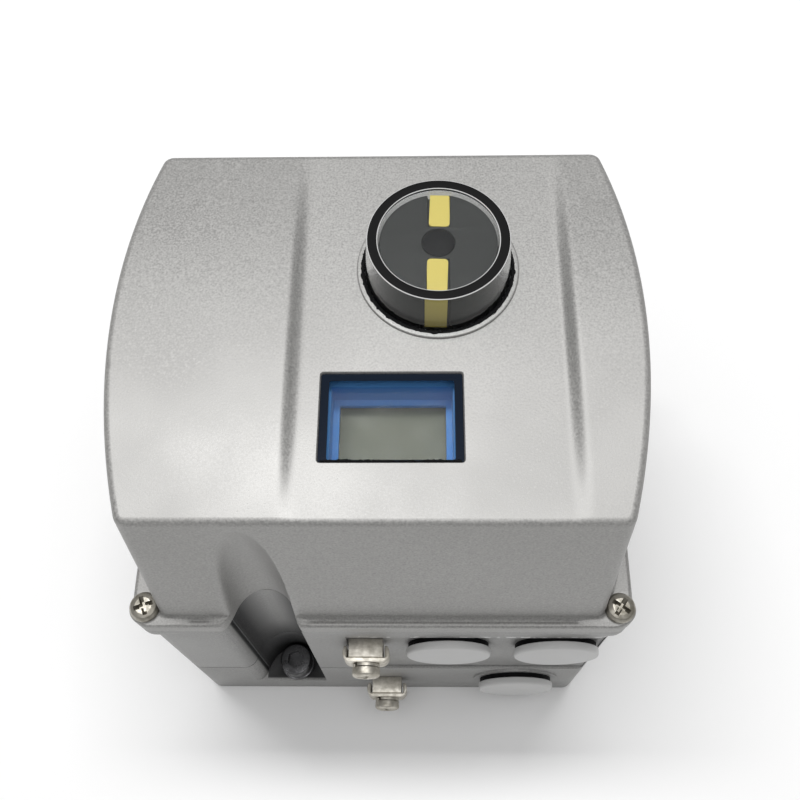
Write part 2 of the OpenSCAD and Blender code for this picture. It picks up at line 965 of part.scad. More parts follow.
// Washers under the mounting screws
module mounting_washers() {
    color("dimgray")
        on_case()
            at_both_ends()
                translate([-access_x, -mount_screw_y, ledge_h])
                    difference() {
                        cylinder(r = mount_washer_r, h = mount_washer_t);
                        translate([0, 0, -over])
                            cylinder(r = mount_screw_r + snug, h = mount_washer_t + 2 * over);
                    }
}

// Clear window over the indicator, a tapered cup with a flange under the cover
module indicator_window() {
    color("lightblue", 0.4)
        rotate_extrude($fn = 96)
            polygon([[0, window_top - window_wall], [window_r - window_wall, window_top - window_wall],
                [window_foot_r - window_wall, window_flange_z], [window_flange_r, window_flange_z],
                [window_flange_r, window_flange_z + window_flange_t],
                [window_foot_r, window_flange_z + window_flange_t], [window_foot_r, top_z],
                [window_r, window_top], [0, window_top]]);
}

// Seal ring between the window flange and the cover
module window_seal() {
    color("black")
        rotate_extrude($fn = 96)
            polygon([[window_foot_r + snug, window_flange_z + window_flange_t],
                [window_flange_r, window_flange_z + window_flange_t], [window_flange_r, ceiling_z],
                [window_hole_r - snug, ceiling_z], [window_hole_r - snug, top_z - cover_wall / 2],
                [window_foot_r + snug, top_z - cover_wall / 2]]);
}

// Ring that clamps the window from inside the cover
module window_retainer() {
    color("dimgray")
        translate([0, 0, window_flange_z - retainer_t])
            difference() {
                union() {
                    cylinder(r = retainer_r, h = retainer_t);
                    for (turn = [45 : 90 : 315])
                        rotate([0, 0, turn])
                            translate([retainer_at, 0, 0])
                                cylinder(r = retainer_lobe_r, h = retainer_t);
                }
                translate([0, 0, -over])
                    cylinder(r = window_foot_r - window_wall, h = retainer_t + 2 * over);
                for (turn = [45 : 90 : 315])
                    rotate([0, 0, turn])
                        translate([retainer_at, 0, -over])
                            cylinder(r = retainer_screw_r + snug, h = retainer_t + 2 * over);
            }
}

// Screws of the window ring
module retainer_screws() {
    color("lightgray")
        for (turn = [45 : 90 : 315])
            rotate([0, 0, turn])
                translate([retainer_at, 0, window_flange_z - retainer_t])
                    rotate([180, 0, 0])
                        pan_screw(retainer_screw_r, retainer_t + retainer_screw_len - over,
                            2 * retainer_screw_r, retainer_screw_r);
}

// Frame drawn about the display's centre
module frame_plan(w, l, hole_w, hole_l) {
    difference() {
        square([w, l], center = true);
        square([hole_w, hole_l], center = true);
    }
}

// Places a piece on the display's axis
module on_display(z) {
    on_case()
        translate([display_x, -display_y, z])
            children();
}

// Clear pane behind the display opening
module display_pane() {
    color("lightblue", 0.4)
        on_display(bezel_z + bezel_t)
            linear_extrude(pane_t)
                square([pane_w, pane_l], center = true);
}

// Dark seal that frames the pane
module display_seal() {
    color("midnightblue")
        on_display(bezel_z + bezel_t + pane_t)
            linear_extrude(seal_t)
                frame_plan(pane_w, pane_l, view_w, view_l);
}

// Bezel that clamps the pane and leads down to the display
module display_bezel() {
    shroud_h = bezel_z - lcd_z - lcd_gap;
    color("steelblue")
        on_display(bezel_z)
            difference() {
                union() {
                    linear_extrude(bezel_t)
                        square([bezel_w, bezel_l], center = true);
                    translate([0, 0, -shroud_h])
                        linear_extrude(shroud_h)
                            square([view_w + 2 * shroud_wall, view_l + 2 * shroud_wall], center = true);
                }
                translate([0, 0, shroud_lip - shroud_h])
                    linear_extrude(bezel_t + shroud_h)
                        square([view_w, view_l], center = true);
                translate([0, 0, -shroud_h - over])
                    linear_extrude(shroud_h)
                        square([view_w - 2 * shroud_lip, view_l - 2 * shroud_lip], center = true);
                translate([0, 0, -over])
                    at_corners(bezel_at_x, bezel_at_y)
                        cylinder(r = bezel_screw_r + snug, h = bezel_t + 2 * over);
            }
}

// Screws of the bezel
module bezel_screws() {
    color("lightgray")
        on_display(bezel_z)
            at_corners(bezel_at_x, bezel_at_y)
                rotate([180, 0, 0])
                    pan_screw(bezel_screw_r, ceiling_z - bezel_z - snug, 2 * bezel_screw_r, bezel_screw_r);
}

// Display glass
module lcd_panel() {
    color("darkkhaki")
        on_display(lcd_z - lcd_t)
            linear_extrude(lcd_t)
                square([view_w + 2 * shroud_wall, view_l + 2 * shroud_wall], center = true);
}

// Board of the local interface, under the display and the keys
module interface_board() {
    color("seagreen")
        on_case()
            translate([display_x, -stand_y, stand_z])
                linear_extrude(board_t)
                    square([stand_w, stand_l], center = true);
}

// Frame that guides the four keys
module keypad_frame() {
    color("black")
        on_case()
            translate([display_x, -key_y, keypad_z])
                difference() {
                    linear_extrude(keypad_t)
                        square([keypad_w, keypad_l], center = true);
                    for (place = [-1.5 : 1 : 1.5])
                        translate([place * key_pitch, 0, 0]) {
                            translate([0, 0, -over])
                                cylinder(r = key_r + key_gap, h = keypad_t + 2 * over);
                            translate([0, 0, -over])
                                cylinder(r = key_foot_r + key_gap, h = over + key_room);
                        }
                }
}

// One key with a foot that keeps it in the frame
module key_at(place) {
    color("white")
        on_case()
            translate([display_x + place * key_pitch, -key_y, keypad_z + key_travel + key_gap]) {
                cylinder(r = key_foot_r, h = key_foot);
                cylinder(r = key_r, h = keypad_t + key_rise - key_travel - key_gap);
            }
}

module key_1() {
    key_at(-1.5);
}

module key_2() {
    key_at(-0.5);
}

module key_3() {
    key_at(0.5);
}

module key_4() {
    key_at(1.5);
}

// Inner cover with the stand of the local interface
module inner_cover() {
    color("dimgray")
        on_case()
            difference() {
                union() {
                    translate([0, 0, cover_z])
                        linear_extrude(tray_t)
                            difference() {
                                rounded_rect(tray_w, tray_l, case_r);
                                at_both_ends()
                                    channel_plan(channel_r, wall);
                            }
                    translate([display_x, -stand_y, cover_z])
                        linear_extrude(stand_z - cover_z)
                            square([stand_w, stand_l], center = true);
                }
                translate([display_x, -stand_y, cover_z - over])
                    linear_extrude(stand_z - cover_z + 2 * over)
                        square([stand_w - 2 * stand_wall, stand_l - 2 * stand_wall], center = true);
                translate([shaft_dx, shaft_dy, cover_z - over])
                    cylinder(r = tray_shaft_r, h = tray_t + 2 * over);
                translate([0, 0, cover_z - over])
                    at_corners(post_x, post_y)
                        cylinder(r = post_drill_r + snug, h = tray_t + 2 * over);
            }
}

// Screws of the inner cover
module inner_cover_screws() {
    color("lightgray")
        on_case()
            translate([0, 0, cover_z + tray_t])
                at_corners(post_x, post_y)
                    pan_screw(post_drill_r, tray_t + post_drill_d - over, 2 * post_drill_r, post_drill_r);
}

// Main electronics board with its larger parts
module main_board() {
    color("seagreen")
        on_case()
            difference() {
                translate([main_board_x, main_board_y, main_board_z]) {
                    linear_extrude(board_t)
                        rounded_rect(main_board_w, main_board_l, board_r);
                    for (side = [-1, 1])
                        translate([side * chip_x, -chip_y, board_t])
                            linear_extrude(chip_h)
                                square(chip_w, center = true);
                }
                translate([shaft_dx, shaft_dy, main_board_z - over])
                    cylinder(r = tray_shaft_r, h = board_t + 2 * over);
                translate([0, 0, main_board_z - seam_z - over])
                    main_board_pillars()
                        cylinder(r = pillar_drill_r + snug, h = board_t + 2 * over);
            }
}

// Position sensor board round the shaft
module sensor_board() {
    color("seagreen")
        translate([0, 0, sensor_z])
            difference() {
                linear_extrude(board_t)
                    rounded_rect(sensor_w, sensor_l, board_r);
                translate([0, 0, -over])
                    cylinder(r = shaft_r + bush_wall, h = board_t + 2 * over);
                translate([0, 0, -over])
                    at_corners(sensor_w / 2 - pillar_r, sensor_l / 2 - pillar_r)
                        cylinder(r = pillar_drill_r + snug, h = board_t + 2 * over);
            }
}

// Small screw of the boards
module board_screw() {
    pan_screw(pillar_drill_r, board_t + pillar_drill_d - over, 2 * pillar_drill_r, pillar_drill_r);
}

// Screws of both boards
module board_screws() {
    color("lightgray") {
        translate([0, 0, sensor_z + board_t])
            at_corners(sensor_w / 2 - pillar_r, sensor_l / 2 - pillar_r)
                board_screw();
        on_case()
            translate([0, 0, main_board_z + board_t - seam_z])
                main_board_pillars()
                    board_screw();
    }
}

// Signal terminals behind the cable entries
module terminal_block() {
    pitch = terminal_w / terminal_count;
    color("darkgreen")
        on_case()
            translate([0, -terminal_y - terminal_l, deck_z])
                difference() {
                    cube([terminal_w, terminal_l, terminal_h]);
                    for (i = [0 : terminal_count - 1])
                        translate([(i + 0.5) * pitch, terminal_l / 2, terminal_h - terminal_screw_h])
                            cylinder(r = terminal_screw_r + snug, h = terminal_screw_h + over);
                }
}

// Screws in the signal terminals
module terminal_screws() {
    pitch = terminal_w / terminal_count;
    color("lightgray")
        on_case()
            for (i = [0 : terminal_count - 1])
                translate([(i + 0.5) * pitch, -terminal_y - terminal_l / 2,
                    deck_z + terminal_h - terminal_screw_h])
                    cylinder(r = terminal_screw_r, h = terminal_screw_h);
}

// Spool valve body on the port block
module valve_body() {
    color("lightsteelblue")
        on_case()
            difference() {
                translate([valve_x0, -valve_l / 2, valve_z0])
                    cube([valve_w, valve_l, valve_h]);
                translate([valve_x0 + valve_w / 2, 0, port_z])
                    rotate([90, 0, 0])
                        cylinder(r = bore_r, h = valve_l + 2 * over, center = true);
                for (row = [-1, 0, 1])
                    translate([valve_x0 - over, row * port_pitch, port_z])
                        rotate([0, 90, 0])
                            cylinder(r = passage_r, h = valve_w / 2 + over);
            }
}

// Gasket between the port block and the valve
module valve_gasket() {
    color("black")
        on_case()
            difference() {
                translate([valve_x0 - valve_gasket_t, -port_block_l / 2, port_z - port_block_h / 2])
                    cube([valve_gasket_t, port_block_l, port_block_h]);
                for (row = [-1, 0, 1])
                    translate([valve_x0 - valve_gasket_t - over, row * port_pitch, port_z])
                        rotate([0, 90, 0])
                            cylinder(r = passage_r, h = valve_gasket_t + 2 * over);
            }
}

// Plates that close the valve's bore
module valve_end_caps() {
    color("lightsteelblue")
        on_case()
            for (side = [-1, 1])
                translate([valve_x0 + valve_w / 2, side * (valve_l + end_cap_t) / 2, port_z])
                    cube([end_cap_w, end_cap_t, end_cap_w], center = true);
}

// Spool with its four lands
module valve_spool() {
    color("lightgray")
        on_case()
            translate([valve_x0 + valve_w / 2, 0, port_z])
                rotate([90, 0, 0]) {
                    cylinder(r = spool_neck_r, h = spool_l, center = true);
                    for (row = [-1.5 : 1 : 1.5])
                        translate([0, 0, row * land_pitch])
                            cylinder(r = bore_r - spool_gap, h = land_l, center = true);
                }
}

// Pilot stage on top of the valve
module prestage_unit() {
    color("gray")
        on_case()
            translate([valve_x0 + valve_w / 2, 0, valve_z0 + valve_h]) {
                translate([-prestage_w / 2, -prestage_l / 2, 0])
                    cube([prestage_w, prestage_l, prestage_h / 2]);
                cylinder(r = prestage_w / 2 - over, h = prestage_h);
            }
}

// Plain bush with its bore
module bush(len) {
    difference() {
        cylinder(r = shaft_r + bush_wall, h = len);
        translate([0, 0, -over])
            cylinder(r = shaft_r + run_gap, h = len + 2 * over);
    }
}

// Bush over the shaft pocket
module lower_bush() {
    color("goldenrod")
        translate([0, 0, pocket_d + seal_h])
            bush(hub_top - pocket_d - seal_h);
}

// Bush in the floor of the main housing
module upper_bush() {
    color("goldenrod")
        translate([0, 0, seam_z])
            bush(upper_hub_top - seam_z);
}

// Seal at the mouth of the lower bush
module shaft_seal() {
    color("black")
        translate([0, 0, pocket_d])
            difference() {
                cylinder(r = seal_r, h = seal_h);
                translate([0, 0, -over])
                    cylinder(r = shaft_r + run_gap, h = seal_h + 2 * over);
            }
}

// Feedback shaft: drive tongue, stub, journal, clip groove and indicator spindle
module feedback_shaft() {
    color("silver")
        difference() {
            union() {
                intersection() {
                    translate([0, 0, tongue_z])
                        cylinder(r = stub_r, h = tongue_h + over);
                    translate([-tongue_w / 2, -shaft_r, 0])
                        cube([tongue_w, 2 * shaft_r, tongue_z + tongue_h + over]);
                }
                translate([0, 0, tongue_z + tongue_h])
                    cylinder(r = stub_r, h = stub_top - tongue_z - tongue_h);
                translate([0, 0, stub_top])
                    cylinder(r = shaft_r, h = spindle_z - stub_top);
                translate([0, 0, spindle_z])
                    cylinder(r = spindle_r, h = spindle_top - spindle_z);
            }
            translate([0, 0, clip_z])
                difference() {
                    cylinder(r = shaft_r + over, h = clip_t);
                    translate([0, 0, -over])
                        cylinder(r = shaft_r - clip_cut, h = clip_t + 2 * over);
                }
            translate([0, 0, spindle_top - cap_shank_len])
                cylinder(r = cap_shank_r + snug, h = cap_shank_len + over);
        }
}

// Clip that keeps the shaft in its bushes
module shaft_circlip() {
    color("dimgray")
        translate([0, 0, clip_z + snug])
            difference() {
                cylinder(r = shaft_r + clip_out, h = clip_t - 2 * snug);
                translate([0, 0, -over])
                    cylinder(r = shaft_r - clip_cut + snug, h = clip_t + 2 * over);
                translate([0, -tongue_w / 2, -over])
                    cube([shaft_r + 2 * clip_out, tongue_w, clip_t + 2 * over]);
            }
}

// Disc on the shaft, drawn from its lower face
module shaft_disc(r, h) {
    difference() {
        cylinder(r = r, h = h);
        translate([0, 0, -over])
            cylinder(r = shaft_r + snug, h = h + 2 * over);
    }
}

// Magnet read by the sensor board
module sensor_magnet() {
    color("dimgray")
        translate([0, 0, magnet_z])
            shaft_disc(magnet_r, magnet_h);
}

// Switching cam with one low quarter
module cam(turn) {
    rotate([0, 0, turn])
        difference() {
            shaft_disc(cam_r, cam_t);
            translate([0, 0, -over])
                difference() {
                    cube([2 * cam_r, 2 * cam_r, cam_t + 2 * over]);
                    cylinder(r = cam_r - cam_low, h = cam_t + 2 * over);
                }
        }
}

module lower_cam() {
    color("orange")
        translate([0, 0, cam_z])
            cam(135);
}

module upper_cam() {
    color("orange")
        translate([0, 0, cam_z + cam_t + cam_gap])
            cam(45);
}

// Stripe inlay on one side of the drum: over the top and down the side
module stripe_inlay(r, w, extra) {
    translate([-w / 2, stripe_in - extra, drum_top - stripe_t - extra])
        cube([w, r, stripe_t + extra + over]);
    translate([-w / 2, 0, drum_foot - over])
        difference() {
            cube([w, 2 * r, drum_top - drum_foot + 2 * over]);
            translate([w / 2, 0, -over])
                cylinder(r = r - stripe_t - extra, h = drum_top - drum_foot + 4 * over);
        }
}

// Both stripes, on opposite sides
module both_stripes(extra) {
    for (turn = [0, 180])
        rotate([0, 0, turn])
            stripe_inlay(drum_r, stripe_w + 2 * extra, extra);
}

// Indicator drum on the shaft's end
module indicator_drum() {
    color("dimgray")
        difference() {
            translate([0, 0, drum_foot])
                cylinder(r = drum_r, h = drum_top - drum_foot);
            translate([0, 0, drum_foot - over])
                difference() {
                    cylinder(r = drum_r - drum_wall, h = drum_top - drum_foot - drum_wall + over);
                    cylinder(r = drum_hub_r, h = drum_top - drum_foot);
                }
            translate([0, 0, drum_foot - over])
                cylinder(r = spindle_r + snug, h = spindle_top - drum_foot + over);
            translate([0, 0, drum_top - cap_h])
                cylinder(r = cap_r + snug, h = cap_h + over);
            translate([0, 0, drum_foot])
                cylinder(r = cap_shank_r + snug, h = drum_top - drum_foot);
            both_stripes(snug);
        }
}

// Yellow stripes let into the drum
module indicator_stripes() {
    color("gold")
        intersection() {
            translate([0, 0, drum_foot])
                cylinder(r = drum_r, h = drum_top - drum_foot);
            both_stripes(0);
        }
}

// Dark screw in the middle of the drum
module indicator_screw() {
    color("black")
        translate([0, 0, drum_top - cap_h]) {
            cylinder(r = cap_r, h = cap_h);
            translate([0, 0, -cap_shank_len])
                cylinder(r = cap_shank_r, h = cap_shank_len);
        }
}

// Plate with a raised seat for each limit switch
module switch_bracket() {
    color("lightgray")
        difference() {
            union() {
                translate([-bracket_w / 2, bracket_pitch / 2 - bracket_l / 2, boss_top])
                    cube([bracket_w, bracket_l, bracket_t]);
                translate([-bracket_w / 2, -switch_w / 2, boss_top])
                    cube([bracket_w / 2 - cam_r, bracket_pitch / 2 + switch_w / 2, bracket_t]);
                translate([-cam_r - switch_gap - switch_l, -switch_w / 2, boss_top])
                    cube([switch_l, switch_w, lower_switch_z - boss_top]);
                translate([-switch_w / 2, cam_r + switch_gap, boss_top])
                    cube([switch_w, switch_l, upper_switch_z - boss_top]);
            }
            translate([0, 0, boss_top - over])
                cylinder(r = hub_r + over, h = hub_top);
            on_case()
                for (at = ext_screws_at)
                    translate([at[0], at[1], boss_top - over])
                        cylinder(r = ext_post_r + post_gap, h = ext_h);
            on_case()
                at_both_ends()
                    translate([0, 0, boss_top - over])
                        linear_extrude(ext_h)
                            channel_plan(channel_r, wall + post_gap);
            for (side = [-1, 1])
                translate([side * bracket_pitch / 2, bracket_pitch / 2, boss_top - over])
                    cylinder(r = bracket_screw_r + snug, h = bracket_t + 2 * over);
        }
}

// Screws of the switch bracket
module bracket_screws() {
    color("lightgray")
        for (side = [-1, 1])
            translate([side * bracket_pitch / 2, bracket_pitch / 2, boss_top + bracket_t])
                pan_screw(bracket_screw_r, bracket_t + bracket_screw_d - snug,
                    bracket_head_r, bracket_head_h);
}

// Inductive limit switch that reads the lower cam
module lower_switch() {
    color("royalblue")
        translate([-cam_r - switch_gap - switch_l, -switch_w / 2, lower_switch_z])
            cube([switch_l, switch_w, switch_h]);
}

// Inductive limit switch that reads the upper cam
module upper_switch() {
    color("royalblue")
        translate([-switch_w / 2, cam_r + switch_gap, upper_switch_z])
            cube([switch_w, switch_l, switch_h]);
}

// Terminal strip of the limit switches
module switch_terminals() {
    color("darkgreen")
        on_case()
            translate([strip_x - strip_w / 2, -strip_y - strip_l, ext_floor])
                cube([strip_w, strip_l, strip_h]);
}

// Blanking plugs in the cable entries
module conduit_plugs() {
    color("lightgray")
        on_case()
            for (p = plugs)
                on_front(p[0], p[1], p[2]) {
                    translate([0, 0, -plug_shank_l])
                        cylinder(r = plug_shank_r, h = plug_shank_l + plug_seal_t);
                    translate([0, 0, plug_seal_t])
                        rotate_extrude()
                            polygon([[0, 0], [plug_r, 0], [plug_r, plug_t - plug_bevel],
                                [plug_r - plug_bevel, plug_t], [0, plug_t]]);
                }
}

// Seal rings under the plug heads
module plug_seals() {
    color("black")
        on_case()
            for (p = plugs)
                on_front(p[0], p[1], p[2])
                    difference() {
                        cylinder(r = plug_r - plug_bevel, h = plug_seal_t);
                        translate([0, 0, -over])
                            cylinder(r = plug_shank_r + snug, h = plug_seal_t + 2 * over);
                    }
}

// Nickel blocks of the earth terminals
module earth_blocks() {
    color("lightgray")
        on_case()
            for (e = earths)
                on_front(e[0], e[1], e[2])
                    difference() {
                        linear_extrude(earth_out)
                            square([earth_w, earth_h], center = true);
                        translate([0, 0, -over])
                            cylinder(r = earth_screw_r + snug, h = earth_out + 2 * over);
                    }
}

// U saddles that clamp the earth wire against the block
module earth_saddles() {
    inner_w = earth_w + 2 * saddle_side;
    outer_w = inner_w + 2 * saddle_t;
    color("lightgray")
        on_case()
            for (e = earths)
                on_front(e[0], e[1], e[2] + earth_out)
                    difference() {
                        translate([0, saddle_h / 2, 0])
                            rotate([90, 0, 0])
                                linear_extrude(saddle_h)
                                    difference() {
                                        translate([0, (saddle_t - saddle_leg) / 2])
                                            rounded_rect(outer_w, saddle_t + saddle_leg, saddle_r);
                                        translate([-inner_w / 2, -2 * saddle_leg])
                                            square([inner_w, 2 * saddle_leg]);
                                        translate([-outer_w, -2 * saddle_leg])
                                            square([2 * outer_w, saddle_leg + over]);
                                    }
                        translate([0, 0, -over])
                            cylinder(r = earth_screw_r + snug, h = saddle_t + 2 * over);
                    }
}

// Spring washers of the earth terminals
module earth_washers() {
    color("lightgray")
        on_case()
            for (e = earths)
                on_front(e[0], e[1], e[2] + earth_out + saddle_t)
                    difference() {
                        cylinder(r = earth_washer_r, h = earth_washer_t);
                        translate([0, 0, -over])
                            cylinder(r = earth_screw_r + snug, h = earth_washer_t + 2 * over);
                    }
}

// Screws of the earth terminals
module earth_screws() {
    color("lightgray")
        on_case()
            for (e = earths)
                on_front(e[0], e[1], e[2] + earth_out + saddle_t + earth_washer_t)
                    pan_screw(earth_screw_r, earth_out + saddle_t + earth_washer_t + earth_tip - snug,
                        earth_head_r, earth_head_h);
}

extension_housing();
main_housing();
main_cover();
extension_gasket();
cover_gasket();
cover_screws();
extension_screws();
mounting_screws();
mounting_washers();
indicator_window();
window_seal();
window_retainer();
retainer_screws();
display_pane();
display_seal();
display_bezel();
bezel_screws();
lcd_panel();
interface_board();
keypad_frame();
key_1();
key_2();
key_3();
key_4();
inner_cover();
inner_cover_screws();
main_board();
sensor_board();
board_screws();
terminal_block();
terminal_screws();
valve_body();
valve_gasket();
valve_end_caps();
valve_spool();
prestage_unit();
lower_bush();
upper_bush();
shaft_seal();
feedback_shaft();
shaft_circlip();
sensor_magnet();
lower_cam();
upper_cam();
indicator_drum();
indicator_stripes();
indicator_screw();
switch_bracket();
bracket_screws();
lower_switch();
upper_switch();
switch_terminals();
conduit_plugs();
plug_seals();
earth_blocks();
earth_saddles();
earth_washers();
earth_screws();
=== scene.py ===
# %% [markdown]
# # Dressing a valve positioner
# A valve positioner sits on an actuator, turns an electric signal into air pressure and shows the
# valve's angle under a clear cup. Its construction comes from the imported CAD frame, at its real size
# and in metres. This lesson makes what the eye sees on top of that frame: a cast and painted cover,
# softened housings, screws with real drives, a clear cup, a display and a finish for every piece.

# %% Load the frame and keep its box
import json
import math

import bmesh
import bpy
import numpy as np
from mathutils import Matrix, Vector, noise as ripple

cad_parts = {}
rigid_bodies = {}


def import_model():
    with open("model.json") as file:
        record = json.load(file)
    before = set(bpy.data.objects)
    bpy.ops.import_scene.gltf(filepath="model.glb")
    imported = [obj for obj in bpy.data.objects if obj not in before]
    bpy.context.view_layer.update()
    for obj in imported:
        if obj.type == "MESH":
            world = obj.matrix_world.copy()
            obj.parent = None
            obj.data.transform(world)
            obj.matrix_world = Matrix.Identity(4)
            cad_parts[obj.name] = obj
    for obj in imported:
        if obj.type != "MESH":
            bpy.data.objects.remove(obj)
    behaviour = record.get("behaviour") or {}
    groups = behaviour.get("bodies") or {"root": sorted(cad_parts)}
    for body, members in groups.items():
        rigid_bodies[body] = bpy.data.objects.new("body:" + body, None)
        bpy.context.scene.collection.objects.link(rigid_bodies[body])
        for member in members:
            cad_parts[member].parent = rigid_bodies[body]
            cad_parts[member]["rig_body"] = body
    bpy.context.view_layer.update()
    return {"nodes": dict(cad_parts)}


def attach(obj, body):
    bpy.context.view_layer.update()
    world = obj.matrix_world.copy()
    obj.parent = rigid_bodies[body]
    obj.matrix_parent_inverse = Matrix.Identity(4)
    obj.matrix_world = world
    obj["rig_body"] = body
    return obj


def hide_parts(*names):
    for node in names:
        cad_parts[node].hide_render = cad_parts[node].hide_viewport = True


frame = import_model()
nodes = frame["nodes"]
MM = 0.001

# %% [markdown]
# ## Camera
# The photograph looks down on the cover from the front, about 64 degrees above the horizon, through a
# lens near 43 mm. The camera could be aimed with a tracking constraint, but three plain angles keep the
# small roll of the picture, so the matrix is set directly.

# %% Set the camera
LENS_MM = 43.09
SENSOR_MM = 36.0
CAMERA_AT = Vector((-0.00409, -0.13170, 0.33644))
CAMERA_TILT, CAMERA_ROLL, CAMERA_TURN = (math.radians(a) for a in (25.805, 1.427, 0.475))
NEAREST, FARTHEST = 0.01, 20.0

scene = bpy.context.scene
camera = bpy.data.objects.new("camera", bpy.data.cameras.new("camera"))
camera.data.lens = LENS_MM
camera.data.sensor_width = SENSOR_MM
camera.data.clip_start, camera.data.clip_end = NEAREST, FARTHEST
turned = (Matrix.Rotation(CAMERA_ROLL, 4, "Y") @ Matrix.Rotation(CAMERA_TILT, 4, "X")
          @ Matrix.Rotation(CAMERA_TURN, 4, "Z"))
camera.matrix_world = Matrix.Translation(CAMERA_AT) @ turned
scene.collection.objects.link(camera)
scene.camera = camera
print("camera at", [round(v, 4) for v in camera.matrix_world.translation])

# %% [markdown]
# ## Floor and light
# The object stands on a plain white table. The main lamp is a long soft box above and a little behind,
# which the front of the cover mirrors and which leaves the front walls and the flange to the light from
# the table, as in the photograph. A wide weak lamp and a pale world fill the shadows.

# %% Build the floor, the lamps and the world
FLOOR_HALF = 2.5
FLOOR_DROP = 0.0002
FLOOR_WHITE, FLOOR_ROUGH = (0.93, 0.93, 0.93, 1.0), 0.9
WORLD_WHITE = (1.0, 1.0, 1.0, 1.0)
WORLD_STRENGTH = 0.33


def link(obj):
    """Puts an object in the scene and gives it back."""
    scene.collection.objects.link(obj)
    return obj


def soft_lamp(name, place, wide, deep, watts):
    """A flat soft box that shines straight down from its place."""
    lamp = bpy.data.lights.new(name, "AREA")
    lamp.shape = "RECTANGLE"
    lamp.size, lamp.size_y = wide, deep
    lamp.energy = watts
    obj = link(bpy.data.objects.new(name, lamp))
    obj.location = place
    return obj


floor_mesh = bpy.data.meshes.new("floor")
corners = [(x * FLOOR_HALF, y * FLOOR_HALF, -FLOOR_DROP) for x, y in ((-1, -1), (1, -1), (1, 1), (-1, 1))]
floor_mesh.from_pydata(corners, [], [(0, 1, 2, 3)])
floor = link(bpy.data.objects.new("floor", floor_mesh))
floor_finish = bpy.data.materials.new("table_white")
floor_finish.use_nodes = True
floor_shader = floor_finish.node_tree.nodes["Principled BSDF"].inputs
floor_shader["Base Color"].default_value = FLOOR_WHITE
floor_shader["Roughness"].default_value = FLOOR_ROUGH
floor_mesh.materials.append(floor_finish)

soft_lamp("rear_overhead_lamp", (-0.15, 0.32, 1.45), wide=1.1, deep=0.18, watts=14.0)
soft_lamp("wide_overhead_lamp", (0.0, -0.35, 1.6), wide=1.8, deep=1.0, watts=8.0)
world = bpy.data.worlds.new("pale_studio")
world.use_nodes = True
world.node_tree.nodes["Background"].inputs["Color"].default_value = WORLD_WHITE
world.node_tree.nodes["Background"].inputs["Strength"].default_value = WORLD_STRENGTH
scene.world = world
scene.view_settings.view_transform = "Standard"

# %% [markdown]
# ## Node helpers
# Every finish is a small shader tree. Writing a tree by hand takes many lines that say little, so short
# helpers add a node, do a sum, mix two colours or make a ramp, and one makes a group with named sockets.
# The first of them serves the geometry trees too.

# %% Define the shader helpers
def add(tree, kind, settings=None, **sockets):
    """One node of a tree, with its own settings, and plain values or links on its sockets."""
    node = tree.nodes.new("ShaderNode" + kind if tree.type == "SHADER" else kind)
    for key, value in (settings or {}).items():
        setattr(node, key, value)
    for label, value in sockets.items():
        plug(tree, value, node.inputs[label.replace("_", " ")])
    return node


def plug(tree, value, socket):
    """Links a socket to a value's socket, or sets it to a plain value."""
    if isinstance(value, bpy.types.NodeSocket):
        tree.links.new(value, socket)
    else:
        socket.default_value = value


def sum_of(tree, operation, first, second):
    """The result of one Math node."""
    node = add(tree, "Math", {"operation": operation})
    plug(tree, first, node.inputs[0])
    plug(tree, second, node.inputs[1])
    return node.outputs[0]


def product(tree, *values):
    """Several values multiplied."""
    total = values[0]
    for value in values[1:]:
        total = sum_of(tree, "MULTIPLY", total, value)
    return total


def ramp(tree, value, start, end, low=0.0, high=1.0):
    """Goes from low to high as a value goes from start to end."""
    node = add(tree, "MapRange", Value=value, From_Min=start, From_Max=end, To_Min=low, To_Max=high)
    return node.outputs[0]


def swing(tree, pattern, share):
    """A pattern from 0 to 1 as a swing about zero, times a share."""
    return product(tree, sum_of(tree, "SUBTRACT", pattern, 0.5), share)


def tinted(tree, colour, change):
    """A colour made lighter and darker by a change about zero."""
    node = add(tree, "VectorMath", {"operation": "SCALE"}, Scale=sum_of(tree, "ADD", change, 1.0))
    plug(tree, colour, node.inputs[0])
    return node.outputs[0]


def blend_colours(tree, share, first, second):
    """The result of mixing two colours by a share."""
    node = add(tree, "Mix", {"data_type": "RGBA"})
    for value, index in ((share, 0), (first, 6), (second, 7)):
        plug(tree, value, node.inputs[index])
    return node.outputs[2]


def noise(tree, where, size, detail=2.0):
    """A cloud pattern whose patches are about size metres wide."""
    return add(tree, "TexNoise", Vector=where, Scale=1.0 / size, Detail=detail).outputs[0]


def new_group(name, inputs, outputs):
    """An empty shader group with named sockets, and its input and output nodes."""
    tree = bpy.data.node_groups.new(name, "ShaderNodeTree")
    for label, kind, value in inputs:
        socket = tree.interface.new_socket(label, in_out="INPUT", socket_type="NodeSocket" + kind)
        socket.default_value = value
    for label, kind in outputs:
        tree.interface.new_socket(label, in_out="OUTPUT", socket_type="NodeSocket" + kind)
    return tree, tree.nodes.new("NodeGroupInput").outputs, tree.nodes.new("NodeGroupOutput").inputs


def give(tree, out, *values):
    """Links values to a group's outputs in their order, and gives the group back."""
    for value, socket in zip(values, out):
        tree.links.new(value, socket)
    return tree


SKIN = [("Color", "Color"), ("Roughness", "Float"), ("Normal", "Vector")]
print("shader helpers ready")

# %% [markdown]
# ## Shared finishes
# Three effects carry most of the object: paint with flakes and a fine orange peel, plated metal that is
# mottled and scratched, and moulded plastic with a fine grain. Each is one group that is placed in many
# materials with its own values. A texture image would tile and blur; noise on object coordinates keeps
# one real scale on every piece.

